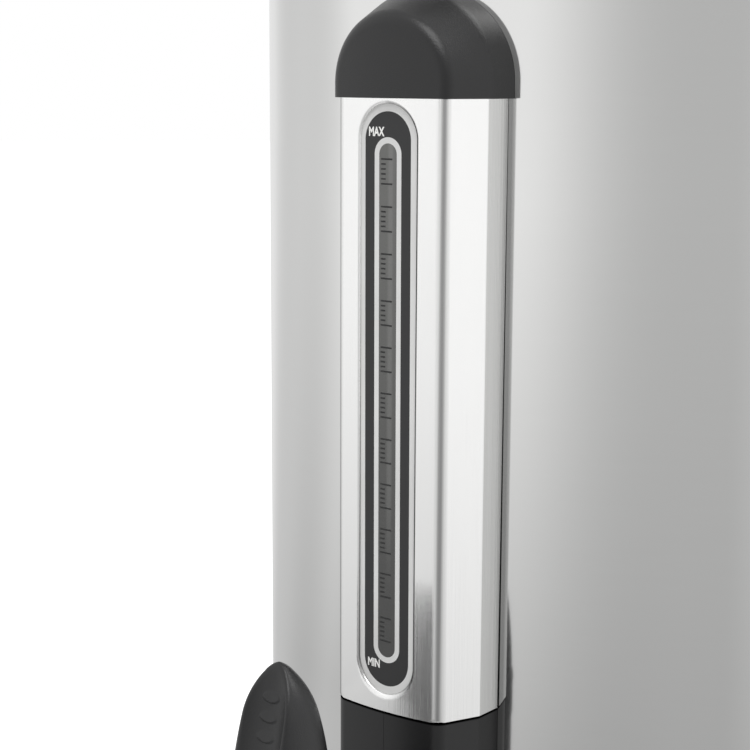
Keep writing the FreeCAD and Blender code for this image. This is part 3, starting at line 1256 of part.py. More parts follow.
def lid_knob():
    """The mushroom knob, and the screw that holds it from below."""
    knob = body("lid_knob_moulding")
    foot = "lid_seat + lid_sheet + lid_dome"
    revolve(knob, sketch(knob, "front", [
        ("handle_screw_radius", foot), ("knob_foot", foot), ("knob_foot", f"{foot} + 2"),
        ("knob_neck", f"{foot} + knob_neck_height", "14", "right"),
        ("knob_cap", f"{foot} + knob_cap_low", "12", "right"),
        ("knob_cap - 4", f"{foot} + knob_cap_high", "6", "left"),
        ("knob_button", f"{foot} + knob_crown", "41", "left"), ("0", f"{foot} + knob_crown"),
        ("0", f"{foot} + 16"), ("handle_screw_radius", f"{foot} + 16"),
    ]))
    piece(knob, "lid_knob")
    screw = machine_screw("knob_screw_solid", "handle_screw_radius", "handle_screw_head + 1", "16", "2.4",
                          ("0", "0", "lid_seat + lid_dome - 0.05"), "up")
    return piece(screw, "knob_screw")


def side_handle(label, side):
    """A moulded bail: a grip bar on two lugs that are curved to the tank."""
    handle = body(label + "_moulding")
    corner, inner = "handle_corner", "10"
    plan = [
        ("shell_radius - 14", "-handle_half"), ("handle_reach - handle_corner", "-handle_half"),
        ("handle_reach", "-handle_half + handle_corner",
         ("handle_reach - handle_corner", "-handle_half + handle_corner"), "left"),
        ("handle_reach", "handle_half - handle_corner"),
        ("handle_reach - handle_corner", "handle_half",
         ("handle_reach - handle_corner", "handle_half - handle_corner"), "left"),
        ("shell_radius - 14", "handle_half"),
    ]
    gap = [
        ("shell_radius - 20", "-handle_gap_half"), (f"handle_gap_reach - {inner}", "-handle_gap_half"),
        ("handle_gap_reach", f"-handle_gap_half + {inner}",
         (f"handle_gap_reach - {inner}", f"-handle_gap_half + {inner}"), "left"),
        ("handle_gap_reach", f"handle_gap_half - {inner}"),
        (f"handle_gap_reach - {inner}", "handle_gap_half",
         (f"handle_gap_reach - {inner}", f"handle_gap_half - {inner}"), "left"),
        ("shell_radius - 20", "handle_gap_half"),
    ]
    if side < 0:
        plan, gap = flipped(plan), flipped(gap)
    pad(handle, sketch(handle, "plan", plan, away="handle_low"), "handle_high - handle_low")
    pocket(handle, sketch(handle, "plan", gap, away="handle_low - 1"), Reversed=True)
    grip = value("shell_radius") + 4
    round_edges(handle, "handle_round", lambda edge: not is_upright(edge) and abs(middle(edge).x) > grip
                and abs(middle(edge).x) > value("handle_gap_reach") + 1)
    pocket(handle, sketch(handle, "plan", ("0", "0", "shell_radius + running_gap"), away="handle_low - 1"),
           Reversed=True)
    holes = []
    for text, turn in handle_screw_turns():
        if math.cos(math.radians(turn)) * side > 0:
            x, y = around("shell_radius - 5", text)
            holes.append(cylinder("handle_hole", "handle_screw_radius", "handle_screw_length + 5",
                                  (x, y, "handle_screw_height"), "right", turn))
    return piece(cut(label + "_drilled", handle, holes), label)


def flipped(corners):
    """The same outline on the other side of the urn, with its arcs turning the other way."""
    turned = {"left": "right", "right": "left"}
    result = []
    for corner in corners:
        bend = ()
        if len(corner) > 2:
            bend = ((f"-({corner[2][0]})", corner[2][1]), turned[corner[3]])
        result.append((f"-({corner[0]})", corner[1]) + bend)
    return result


def handle_screws():
    """Four screws that hold the handles from inside the tank."""
    screws = []
    for text, turn in handle_screw_turns():
        x, y = around("shell_radius - wall - 0.08", text)
        screws.append(machine_screw("handle_screw", "handle_screw_radius", "handle_screw_head",
                                    "handle_screw_length", "handle_head_height",
                                    (x, y, "handle_screw_height"), "right", turn))
    return piece(group("handle_screw_set", screws), "handle_screws")


for build in (
    tank_shell, tank_floor, base_ring, base_plate, rubber_feet, base_screws,
    heat_plate, heating_element, element_clamp, thermal_cutout,
    thermostat, thermostat_bulb, wiring, thermostat_knob, thermostat_spindle, dial_plate,
    switch_frame, rocker_switch, lamps, appliance_inlet, inlet_pins, inlet_screws,
    gauge_cover, gauge_cap, lower_housing, column_back, column_screws, gauge_label, gauge_window,
    sight_tube, tube_seals, tube_holder, gauge_fitting,
    tap_body, tap_nut, tap_washers, tap_bonnet, tap_stem, seat_cup, tap_spring, tap_lever, lever_pin,
    lid, lid_knob, handle_screws,
):
    build()
side_handle("right_handle", 1)
side_handle("left_handle", -1)

doc.recompute()
for item in doc.Objects:
    if "Invalid" in item.State or "Error" in item.State:
        raise ValueError(f"{item.Name} failed: {item.State}")
for item in PIECES:
    if item.Shape.isNull() or not item.Shape.isValid():
        raise ValueError(f"{item.Label} has no valid shape")

os.makedirs("parts", exist_ok=True)
for item in PIECES:
    item.Shape.exportStep(f"parts/{item.Label}.step")
print(len(PIECES), "sub-parts")
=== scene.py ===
import json
import math

import bmesh
import bpy
from mathutils import Matrix, Vector


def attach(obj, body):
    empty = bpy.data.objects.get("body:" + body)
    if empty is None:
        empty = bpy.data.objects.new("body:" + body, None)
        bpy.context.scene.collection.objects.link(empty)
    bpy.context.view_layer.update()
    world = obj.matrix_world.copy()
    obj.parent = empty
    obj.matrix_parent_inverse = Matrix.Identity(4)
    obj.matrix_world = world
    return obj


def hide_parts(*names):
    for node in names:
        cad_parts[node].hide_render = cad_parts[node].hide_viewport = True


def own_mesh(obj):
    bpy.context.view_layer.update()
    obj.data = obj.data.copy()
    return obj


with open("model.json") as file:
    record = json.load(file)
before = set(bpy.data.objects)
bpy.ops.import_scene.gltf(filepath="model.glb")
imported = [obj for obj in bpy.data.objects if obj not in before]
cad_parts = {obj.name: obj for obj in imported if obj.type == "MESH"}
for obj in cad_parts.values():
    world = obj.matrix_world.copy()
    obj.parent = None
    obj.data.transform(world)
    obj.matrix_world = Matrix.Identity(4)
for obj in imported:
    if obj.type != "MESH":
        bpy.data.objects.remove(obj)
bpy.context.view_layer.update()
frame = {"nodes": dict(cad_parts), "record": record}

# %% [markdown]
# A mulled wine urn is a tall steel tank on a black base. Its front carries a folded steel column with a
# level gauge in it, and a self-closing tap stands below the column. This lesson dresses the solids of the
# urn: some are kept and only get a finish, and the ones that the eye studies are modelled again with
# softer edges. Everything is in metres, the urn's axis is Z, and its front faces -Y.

MM = 0.001
nodes = frame["nodes"]

# %% [markdown]
# The camera repeats the photograph's view: it stands to the right of the front and a little above the
# gauge, and looks down on it. The angles come from the vanishing lines of the column and the tank.

# %% Camera
view_azimuth = math.radians(38.795)
view_pitch = math.radians(9.784)
view_roll = math.radians(0.25)
view_place = (0.32667, -0.58659, 0.38415)
focal_length, sensor_width = 84.917, 36
forward = Vector((-math.sin(view_azimuth) * math.cos(view_pitch),
                  math.cos(view_azimuth) * math.cos(view_pitch),
                  -math.sin(view_pitch)))
level = Vector((math.cos(view_azimuth), math.sin(view_azimuth), 0))
rise = level.cross(forward)
right = level * math.cos(view_roll) + rise * math.sin(view_roll)
up = rise * math.cos(view_roll) - level * math.sin(view_roll)
turn = Matrix((right, up, -forward)).transposed().to_4x4()
lens_data = bpy.data.cameras.new("view_camera")
lens_data.lens = focal_length
lens_data.sensor_width = sensor_width
lens_data.clip_start = 0.01
camera = bpy.data.objects.new("view_camera", lens_data)
camera.matrix_world = Matrix.Translation(view_place) @ turn
bpy.context.scene.collection.objects.link(camera)
bpy.context.scene.camera = camera
bpy.context.scene.view_settings.view_transform = "Standard"
print("camera at", tuple(round(v, 3) for v in camera.location), "lens", lens_data.lens)

# %% [markdown]
# Finishes are node trees. One helper adds a node with its settings and its links, and one turns a hex
# colour, which is how paint and plastic makers give it, into the linear numbers that light is summed in.
# No real surface has one colour all over, so a third gives a darker and a lighter tone to run between.


# %% Helpers for finishes
def linear(hex_colour):
    """The linear colour of an sRGB hex value."""
    parts = [int(hex_colour[i:i + 2], 16) / 255 for i in (1, 3, 5)]
    return tuple(p / 12.92 if p <= 0.04045 else ((p + 0.055) / 1.055) ** 2.4 for p in parts) + (1,)


def tones(hex_colour, spread):
    """A darker and a lighter tone of a colour, each off by the given share."""
    return [tuple(c * (1 + share) for c in linear(hex_colour)[:3]) + (1,) for share in (-spread, spread)]


def add_node(tree, kind, settings=None, inputs=None):
    """Adds a node: settings are its own properties, inputs are values, or sockets to link from."""
    node = tree.nodes.new(kind)
    for name, setting in (settings or {}).items():
        setattr(node, name, setting)
    for name, source in (inputs or {}).items():
        if isinstance(source, bpy.types.NodeSocket):
            tree.links.new(source, node.inputs[name])
        else:
            node.inputs[name].default_value = source
    return node


def new_finish(name):
    """A material whose tree holds only its output node."""
    material = bpy.data.materials.new(name)
    material.use_nodes = True
    material.node_tree.nodes.clear()
    return material, material.node_tree, material.node_tree.nodes.new("ShaderNodeOutputMaterial")


# %% [markdown]
# Steel has no look of its own: it shows the room. The room here is a white studio that is dimmer on the
# camera's side, as a photographer's is. The same dimming goes into the sky and into what the steel sees
# of the floor, and the camera itself sees both as plain white.


# %% Studio
# azimuth from the front in degrees, how narrow, how dark (bright if below 0), how much darker on its floor
ROOM_SHADES = ((44, 0.55, 0.42, 0.0), (72, 0.87, -0.30, 0.0), (-35, 0.35, 0.0, 0.29), (-93, 0.88, 0.24, 0.0),
               (-150, 0.50, 0.16, 0.0))
# the steeper and the flatter look between which a share of the floor's tone fades, and the share at each
FLOOR_FADE, NEAR_FADE = (-0.45, -0.06, 1.0, 0.0), (-0.85, -0.60, 1.6, 1.0)
FLOOR_DIM = 0.16


def room_tone(tree, direction):
    """How bright the room is towards a direction: less on the camera's side and on the floor further off."""
    flat = add_node(tree, "ShaderNodeVectorMath", {"operation": "MULTIPLY"}, {0: direction, 1: (1, 1, 0)})
    heading = add_node(tree, "ShaderNodeVectorMath", {"operation": "NORMALIZE"}, {0: flat.outputs[0]})
    steady = add_node(tree, "ShaderNodeVectorMath", {"operation": "NORMALIZE"}, {0: direction})
    height = add_node(tree, "ShaderNodeSeparateXYZ", {}, {0: steady.outputs[0]})
    below, near = [
        add_node(tree, "ShaderNodeMapRange", {}, {
            "Value": height.outputs["Z"], "From Min": steep, "From Max": level,
            "To Min": start, "To Max": end}).outputs[0]
        for steep, level, start, end in (FLOOR_FADE, NEAR_FADE)]
    tone = add_node(tree, "ShaderNodeMath", {"operation": "MULTIPLY_ADD"}, {0: below, 1: -FLOOR_DIM, 2: near})
    for azimuth, nearest, dim, floor_dim in ROOM_SHADES:
        aim = (math.sin(math.radians(azimuth)), -math.cos(math.radians(azimuth)), 0)
        facing = add_node(tree, "ShaderNodeVectorMath", {"operation": "DOT_PRODUCT"}, {
            0: heading.outputs[0], 1: aim})
        part = add_node(tree, "ShaderNodeMapRange", {"interpolation_type": "SMOOTHSTEP"}, {
            "Value": facing.outputs["Value"], "From Min": nearest, "From Max": 1.0})
        depth = add_node(tree, "ShaderNodeMath", {"operation": "MULTIPLY_ADD"}, {
            0: below, 1: -floor_dim, 2: -dim})
        shade = add_node(tree, "ShaderNodeMath", {"operation": "MULTIPLY_ADD"}, {
            0: part.outputs[0], 1: depth.outputs[0], 2: 1.0})
        tone = add_node(tree, "ShaderNodeMath", {"operation": "MULTIPLY"}, {
            0: tone.outputs[0], 1: shade.outputs[0]})
    return tone.outputs[0]


def ray_kinds(tree):
    """Whether a thing is seen straight or through clear plastic, and whether it is seen in a mirror."""
    path = add_node(tree, "ShaderNodeLightPath")
    seen = add_node(tree, "ShaderNodeMath", {"operation": "MAXIMUM"}, {
        0: path.outputs["Is Camera Ray"], 1: path.outputs["Is Transmission Ray"]})
    return seen.outputs[0], path.outputs["Is Glossy Ray"]


world = bpy.data.worlds.new("white_studio")
world.use_nodes = True
bpy.context.scene.world = world
tree = world.node_tree
tree.nodes.clear()
seen, reflected = ray_kinds(tree)
sky_direction = add_node(tree, "ShaderNodeTexCoord").outputs["Generated"]
plain_light = 0.80
mirrored = add_node(tree, "ShaderNodeMix", {}, {
    "Factor": reflected, "A": plain_light, "B": room_tone(tree, sky_direction)})
strength = add_node(tree, "ShaderNodeMix", {}, {"Factor": seen, "A": mirrored.outputs[0], "B": 1.0})
background = add_node(tree, "ShaderNodeBackground", {}, {
    "Color": (1, 1, 1, 1), "Strength": strength.outputs[0]})
add_node(tree, "ShaderNodeOutputWorld", {}, {"Surface": background.outputs[0]})
print("studio sky", plain_light, "for plain light")

# %% [markdown]
# The floor is a wide round sheet of white paper. It gives off a little light of its own to the camera, so
# that it runs into the white background, and it still takes the urn's soft shadow. What the steel mirrors of
# it has the room's tones, as seen from the height of the gauge.

# %% Floor
floor_radius, gauge_height, paper_glow = 9, 0.3, 0.55
floor_mesh = bpy.data.meshes.new("studio_floor")
bm = bmesh.new()
bmesh.ops.create_circle(bm, cap_ends=True, segments=96, radius=floor_radius)
bm.to_mesh(floor_mesh)
bm.free()
floor = bpy.data.objects.new("studio_floor", floor_mesh)
bpy.context.scene.collection.objects.link(floor)
floor_finish, tree, output = new_finish("white_paper_floor")
seen, reflected = ray_kinds(tree)
place = add_node(tree, "ShaderNodeTexCoord").outputs["Object"]
lowered = add_node(tree, "ShaderNodeVectorMath", {"operation": "SUBTRACT"}, {
    0: place, 1: (0, 0, gauge_height)})
glow = add_node(tree, "ShaderNodeMath", {"operation": "MULTIPLY"}, {0: seen, 1: paper_glow})
paper = add_node(tree, "ShaderNodeBsdfDiffuse", {}, {"Color": linear("#ECECEC")})
lift = add_node(tree, "ShaderNodeEmission", {}, {"Color": (1, 1, 1, 1), "Strength": glow.outputs[0]})
own_light = add_node(tree, "ShaderNodeAddShader", {}, {0: paper.outputs[0], 1: lift.outputs[0]})
mirror_light = add_node(tree, "ShaderNodeEmission", {}, {
    "Color": (1, 1, 1, 1), "Strength": room_tone(tree, lowered.outputs[0])})
either = add_node(tree, "ShaderNodeMixShader", {}, {
    0: reflected, 1: own_light.outputs[0], 2: mirror_light.outputs[0]})
tree.links.new(either.outputs[0], output.inputs["Surface"])
floor_mesh.materials.append(floor_finish)
print("floor radius", floor_radius, "m")

# %% [markdown]
# Two square lamps shape the black plastic: one overhead draws the sheen along the cap's shoulder, and one on
# the right, behind the urn, draws its far edge.


# %% Lamps
def softbox(name, place, aim, size, power):
    """A square lamp that hangs at a place and faces a point."""
    lamp = bpy.data.lights.new(name, "AREA")
    lamp.size = size
    lamp.energy = power
    holder = bpy.data.objects.new(name, lamp)
    holder.location = place
    holder.rotation_euler = (Vector(aim) - Vector(place)).to_track_quat("-Z", "Y").to_euler()
    bpy.context.scene.collection.objects.link(holder)


middle = (0, 0, 0.3)
softbox("overhead_lamp", (0.55, -0.80, 1.6), middle, 0.9, 9)
softbox("right_lamp", (0.95, 0.75, 1.5), middle, 0.8, 7)
print("two lamps")

# %% [markdown]
# The tank is rolled from bright annealed stainless sheet, which mirrors the room almost sharply. The column
# is folded from sheet that an abrasive belt has brushed lengthwise. Its scratches smear what it mirrors
# across them: the shader's anisotropy does the smearing, and a bump of long thin noise draws the scratches.
# Real ones are about 0.05 mm apart, too fine to show here, so the drawn ones are 0.5 mm apart. Where the
# sheet is bent or cut, a bend attribute darkens it: partly for the dull stretched and sheared metal, and
# partly
# as painted shade along the folds and in the slot's rolled edge. The tank gets painted shade by the column:
# black behind its edge and darker just beside it. Its inside is duller than its outside.


# %% Brushed steel
# where the tank's inner face ends, in millimetres from the axis, and how much rougher the steel is inside
INNER_FACE, INNER_ROUGHNESS = (151.3, 151.7), 0.5


def column_shadow(tree, place):
    """Painted shade on the tank by the gauge column: black behind it, darker for 2 mm beside it."""
    spot = add_node(tree, "ShaderNodeSeparateXYZ", {}, {0: place})
    aside = add_node(tree, "ShaderNodeMath", {"operation": "ABSOLUTE"}, {0: spot.outputs["X"]})
    shade = []
    for socket, low, high, start, end in (
            (aside.outputs[0], 25.3, 25.8, 0.95, 0.47), (aside.outputs[0], 27.0, 28.4, 0.0, -0.47),
            (spot.outputs["Z"], 127, 133, 0.0, 1.0), (spot.outputs["Z"], 377, 380, 1.0, 0.0),
            (spot.outputs["Y"], -140, -120, 1.0, 0.0)):
        fade = add_node(tree, "ShaderNodeMapRange", {}, {
            "Value": socket, "From Min": low * MM, "From Max": high * MM, "To Min": start, "To Max": end})
        shade.append(fade.outputs[0])
    behind, beside, *limits = shade
    depth = add_node(tree, "ShaderNodeMath", {"operation": "ADD", "use_clamp": True}, {0: behind, 1: beside})
    for limit in limits:
        depth = add_node(tree, "ShaderNodeMath", {"operation": "MULTIPLY"}, {0: depth.outputs[0], 1: limit})
    return depth.outputs[0]


def steel_sheet(name, colour, roughness, spread, stroke, grain, scratch_mm, bend_and_shade_colour=None, is_tank=False):
    """Stainless sheet: stroke is how fast the scratches change along X, Y and Z, per metre.

    The tank's sheet also has painted shade by the column, and is dull inside.
    """
    material, tree, output = new_finish(name)
    place = add_node(tree, "ShaderNodeTexCoord").outputs["Object"]
    stretched = add_node(tree, "ShaderNodeMapping", {}, {"Vector": place, "Scale": stroke})
    scratches = add_node(tree, "ShaderNodeTexNoise", {}, {
        "Vector": stretched.outputs[0], "Scale": 1.0, "Detail": 4.0, "Roughness": 0.6})
    clouds = add_node(tree, "ShaderNodeTexNoise", {}, {"Vector": place, "Scale": 9.0, "Detail": 2.0})
    both = add_node(tree, "ShaderNodeMath", {"operation": "MULTIPLY_ADD"}, {
        0: clouds.outputs["Fac"], 1: 0.35, 2: scratches.outputs["Fac"]})
    rough = add_node(tree, "ShaderNodeMapRange", {}, {
        "Value": both.outputs[0], "From Min": 0.35, "From Max": 1.0,
        "To Min": roughness * 0.85, "To Max": roughness * 1.15})
    dark, light = tones(colour, grain)
    tint = add_node(tree, "ShaderNodeMix", {"data_type": "RGBA"}, {
        0: scratches.outputs["Fac"], 6: dark, 7: tuple(min(1, c) for c in light)})
    # the bend attribute darkens bends and cuts: partly dull metal, partly painted shade
    if bend_and_shade_colour:
        bend = add_node(tree, "ShaderNodeAttribute", {"attribute_name": "bend"})
        uneven = add_node(tree, "ShaderNodeMath", {"operation": "MULTIPLY_ADD"}, {
            0: scratches.outputs["Fac"], 1: 0.6, 2: 0.7})
        worn_and_shaded = add_node(tree, "ShaderNodeMath", {"operation": "MULTIPLY", "use_clamp": True}, {
            0: bend.outputs["Fac"], 1: uneven.outputs[0]})
        tint = add_node(tree, "ShaderNodeMix", {"data_type": "RGBA"}, {
            0: worn_and_shaded.outputs[0], 6: tint.outputs[2], 7: linear(bend_and_shade_colour)})
    if is_tank:
        flat = add_node(tree, "ShaderNodeVectorMath", {"operation": "MULTIPLY"}, {0: place, 1: (1, 1, 0)})
        radius = add_node(tree, "ShaderNodeVectorMath", {"operation": "LENGTH"}, {0: flat.outputs[0]})
        inside = add_node(tree, "ShaderNodeMapRange", {}, {
            "Value": radius.outputs["Value"], "From Min": INNER_FACE[0] * MM, "From Max": INNER_FACE[1] * MM,
            "To Min": INNER_ROUGHNESS, "To Max": 0.0})
        rough = add_node(tree, "ShaderNodeMath", {"operation": "ADD"}, {
            0: rough.outputs[0], 1: inside.outputs[0]})
        # painted shade by the column, kept off the tank's inner face
        shadow = add_node(tree, "ShaderNodeMath", {"operation": "SUBTRACT", "use_clamp": True}, {
            0: column_shadow(tree, place), 1: inside.outputs[0]})
        tint = add_node(tree, "ShaderNodeMix", {"data_type": "RGBA"}, {
            0: shadow.outputs[0], 6: tint.outputs[2], 7: (0, 0, 0, 1)})
    relief = add_node(tree, "ShaderNodeBump", {}, {
        "Height": scratches.outputs["Fac"], "Strength": 1.0, "Distance": scratch_mm * MM})
    around = add_node(tree, "ShaderNodeTangent", {"direction_type": "RADIAL", "axis": "Z"})
    steel = add_node(tree, "ShaderNodeBsdfPrincipled", {}, {
        "Base Color": tint.outputs[2], "Metallic": 1.0, "Roughness": rough.outputs[0], "Anisotropic": spread,
        "Tangent": around.outputs[0], "Normal": relief.outputs[0]})
    tree.links.new(steel.outputs[0], output.inputs["Surface"])
    return material


tank_steel = steel_sheet("stainless_bright_annealed", "#E2E2E1", 0.07, 0.0, (40, 40, 500), 0.01, 0.0003,
                         is_tank=True)
cover_steel = steel_sheet("stainless_brushed_lengthwise", "#FCFCFB", 0.21, 0.92, (2200, 2200, 9), 0.03, 0.06,
                          bend_and_shade_colour="#3C3C3C")
lid_steel = steel_sheet("stainless_satin_lid", "#E2E2E1", 0.22, 0.0, (260, 260, 260), 0.03, 0.003)
print("steel finishes ready")

# %% [markdown]
# The plastic parts are moulded, and their mould is lightly blasted, so the surface has a fine grain. The
# grain softens highlights without making the plastic look rough. Soft parts such as seals and feet are matt.
# The housing under the column gets a darker copy of the black, which is painted shade, and painted shade
# makes it black without gloss in the joint between them, where no light reaches it.


# %% Moulded plastic and rubber
def moulded(name, colour, roughness, grain_mm, depth_mm, joint_mm=None):
    """Moulded plastic or rubber with a grain of the given size and depth; painted shade makes it black above
    a joint's height.
    """
    material, tree, output = new_finish(name)
    place = add_node(tree, "ShaderNodeTexCoord").outputs["Object"]
    grain = add_node(tree, "ShaderNodeTexNoise", {}, {
        "Vector": place, "Scale": 1 / (grain_mm * MM), "Detail": 2.0})
    wear = add_node(tree, "ShaderNodeTexNoise", {}, {"Vector": place, "Scale": 30.0, "Detail": 3.0})
    rough = add_node(tree, "ShaderNodeMapRange", {}, {
        "Value": wear.outputs["Fac"], "From Min": 0.3, "From Max": 0.7,
        "To Min": roughness * 0.88, "To Max": roughness * 1.12})
    dark, light = tones(colour, 0.15)
    tint = add_node(tree, "ShaderNodeMix", {"data_type": "RGBA"}, {0: wear.outputs["Fac"], 6: dark, 7: light})
    relief = add_node(tree, "ShaderNodeBump", {}, {
        "Height": grain.outputs["Fac"], "Strength": 0.35, "Distance": depth_mm * MM})
    plastic = add_node(tree, "ShaderNodeBsdfPrincipled", {}, {
        "Base Color": tint.outputs[2], "Roughness": rough.outputs[0], "Specular IOR Level": 0.5,
        "Normal": relief.outputs[0]})
    # painted shade: black and without gloss in the joint under the cover
    if joint_mm:
        spot = add_node(tree, "ShaderNodeSeparateXYZ", {}, {0: place})
        gloss, joint_shade = [
            add_node(tree, "ShaderNodeMapRange", {}, {
                "Value": spot.outputs["Z"], "From Min": (joint_mm - 0.4) * MM, "From Max": joint_mm * MM,
                "To Min": start, "To Max": end}).outputs[0]
            for start, end in ((0.5, 0.0), (0.0, 1.0))]
        tint = add_node(tree, "ShaderNodeMix", {"data_type": "RGBA"}, {
            0: joint_shade, 6: tint.outputs[2], 7: (0.001, 0.001, 0.001, 1)})
        tree.links.new(gloss, plastic.inputs["Specular IOR Level"])
        tree.links.new(tint.outputs[2], plastic.inputs["Base Color"])
    tree.links.new(plastic.outputs[0], output.inputs["Surface"])
    return material


satin_black = moulded("polypropylene_satin_black", "#1A1A1B", 0.34, 0.45, 0.16)
# the lower housing's black: a darker copy of the satin black as painted shade, with painted black in its
# joint
housing_shaded_black = moulded("polypropylene_shaded_black", "#121213", 0.36, 0.45, 0.06, joint_mm=186.7)
base_black = moulded("polypropylene_grained_black", "#202021", 0.50, 0.8, 0.04)
gloss_black = moulded("nylon_gloss_black", "#141415", 0.18, 0.3, 0.004)
matt_rubber = moulded("rubber_matt_black", "#1F1F1F", 0.80, 0.5, 0.03)
pale_silicone = moulded("silicone_pale", "#B9B5AC", 0.55, 0.6, 0.01)
lead_sleeve = moulded("heat_sleeve_grey", "#4A4A50", 0.65, 0.5, 0.02)
green_lens = moulded("polycarbonate_green", "#2F8F45", 0.12, 1.0, 0.003)
amber_lens = moulded("polycarbonate_amber", "#C9761B", 0.12, 1.0, 0.003)
print("plastics ready")

# %% [markdown]
# The remaining metals are plain: rolled sheet, zinc-plated screws, brass, copper and aluminium. They only
# differ in colour and in how tight their reflections are, and a faint cloudiness breaks them up.


# %% Plain metals
def plain_metal(name, colour, roughness, cloud_mm=12.0, variation=0.06):
    """Metal without a direction: plated, rolled, cast or machined."""
    material, tree, output = new_finish(name)
    place = add_node(tree, "ShaderNodeTexCoord").outputs["Object"]
    cloud = add_node(tree, "ShaderNodeTexNoise", {}, {
        "Vector": place, "Scale": 1 / (cloud_mm * MM), "Detail": 5.0})
    rough = add_node(tree, "ShaderNodeMapRange", {}, {
        "Value": cloud.outputs["Fac"], "From Min": 0.3, "From Max": 0.7,
        "To Min": roughness * 0.8, "To Max": roughness * 1.2})
    dark, light = tones(colour, variation)
    tint = add_node(tree, "ShaderNodeMix", {"data_type": "RGBA"}, {
        0: cloud.outputs["Fac"], 6: dark, 7: light})
    metal = add_node(tree, "ShaderNodeBsdfPrincipled", {}, {
        "Base Color": tint.outputs[2], "Metallic": 1.0, "Roughness": rough.outputs[0]})
    tree.links.new(metal.outputs[0], output.inputs["Surface"])
    return material


rolled_steel = plain_metal("rolled_steel_plain", "#C9C9C8", 0.38)
zinc_plate = plain_metal("screw_steel_zinc_plated", "#CDCDCB", 0.28, 6.0)
hot_steel = plain_metal("element_sheath_heat_tinted", "#8C857E", 0.42, 18.0, 0.2)
drawn_copper = plain_metal("copper_drawn", "#D8946F", 0.30)
bright_brass = plain_metal("brass_bright", "#DCC27C", 0.25)
machined_aluminium = plain_metal("aluminium_machined", "#D5D6D8", 0.34)
print("metals ready")

# %% [markdown]
# The gauge is a printed label with a strip of smoked plastic in its middle. Ink is a thin coat with a slight
# gloss. The strip lets a little light through. Its colour carries painted light: it is paler towards the top,
# and paler along the line where the clear tube stands behind it.

# %% Gauge finishes
silver_ink = moulded("ink_silver_grey", "#D6D6D5", 0.45, 0.4, 0.002)
black_ink = moulded("ink_black", "#232324", 0.42, 0.4, 0.002)
white_ink = moulded("ink_white", "#F2F2F0", 0.50, 0.4, 0.002)
mark_ink = moulded("ink_dark_grey", "#191919", 0.50, 0.4, 0.002)
smoked, tree, output = new_finish("acrylic_smoked")
place = add_node(tree, "ShaderNodeTexCoord").outputs["Object"]
spot = add_node(tree, "ShaderNodeSeparateXYZ", {}, {0: place})
# painted light: the strip is paler towards the top and along the tube behind it
paler_from, paler_to, glow_from, glow_to = 200, 370, 222, 262
tube_x, tube_middle, tube_edge, tube_strength = 0.6, 0.3, 1.5, 0.2
lit = add_node(tree, "ShaderNodeMapRange", {"interpolation_type": "SMOOTHSTEP"}, {
    "Value": spot.outputs["Z"], "From Min": paler_from * MM, "From Max": paler_to * MM})
painted_height_light = add_node(tree, "ShaderNodeMix", {"data_type": "RGBA"}, {
    0: lit.outputs[0], 6: linear("#4C4C4B"), 7: linear("#6E6E6C")})
off_tube = add_node(tree, "ShaderNodeMath", {"operation": "SUBTRACT"}, {0: spot.outputs["X"], 1: tube_x * MM})
aside = add_node(tree, "ShaderNodeMath", {"operation": "ABSOLUTE"}, {0: off_tube.outputs[0]})
painted_tube_light = add_node(tree, "ShaderNodeMapRange", {"interpolation_type": "SMOOTHSTEP"}, {
    "Value": aside.outputs[0], "From Min": tube_middle * MM, "From Max": tube_edge * MM,
    "To Min": tube_strength, "To Max": 0.0})
high_up = add_node(tree, "ShaderNodeMapRange", {"interpolation_type": "SMOOTHSTEP"}, {
    "Value": spot.outputs["Z"], "From Min": glow_from * MM, "From Max": glow_to * MM})
tube_seen = add_node(tree, "ShaderNodeMath", {"operation": "MULTIPLY"}, {
    0: painted_tube_light.outputs[0], 1: high_up.outputs[0]})
tinted = add_node(tree, "ShaderNodeMix", {"data_type": "RGBA"}, {
    0: tube_seen.outputs[0], 6: painted_height_light.outputs[2], 7: linear("#A4A4A2")})
smoke = add_node(tree, "ShaderNodeBsdfPrincipled", {}, {
    "Base Color": tinted.outputs[2], "Roughness": 0.22, "Transmission Weight": 0.2, "IOR": 1.49})
tree.links.new(smoke.outputs[0], output.inputs["Surface"])
clear, tree, output = new_finish("glass_clear_tube")
glass = add_node(tree, "ShaderNodeBsdfPrincipled", {}, {
    "Base Color": linear("#E8EDED"), "Roughness": 0.03, "Transmission Weight": 1.0, "IOR": 1.47})
tree.links.new(glass.outputs[0], output.inputs["Surface"])
print("gauge finishes ready")

# %% [markdown]
# The frame's record says which material slot each solid is made of. Each slot gets its finish here, and the
# two halves of the lower housing get a darker copy of the black plastic, which is painted shade.

# %% Finish for each solid
finishes = {
    "tank_steel": tank_steel, "lid_steel": lid_steel, "cover_steel": cover_steel, "plain_steel": rolled_steel,
    "screw_steel": zinc_plate, "element_steel": hot_steel, "spring_steel": zinc_plate,
    "cutout_metal": machined_aluminium, "thermostat_metal": rolled_steel, "copper": drawn_copper,
    "brass": bright_brass, "aluminium": machined_aluminium, "base_plastic": base_black,
    "black_plastic": satin_black, "rocker_plastic": gloss_black, "green_lens": green_lens,
    "amber_lens": amber_lens, "dial_print": black_ink, "label_print": silver_ink, "smoked_window": smoked,
    "clear_tube": clear, "silicone": pale_silicone, "rubber": matt_rubber, "wire_sleeve": lead_sleeve,
}
for subpart in frame["record"]["subparts"]:
    for holder in nodes[subpart["node"]].material_slots:
        holder.material = finishes[subpart["material_slot"]]
for half in ("lower_housing_left", "lower_housing_right"):
    nodes[half].material_slots[0].material = housing_shaded_black
print(len(finishes), "finishes for", len(nodes), "solids")

# %% [markdown]
# New pieces start in bmesh, which is a mesh with tools for turning, extruding and bevelling. One helper turns
# a profile on a lathe, one softens chosen edges, and one hands the finished mesh over to the urn.


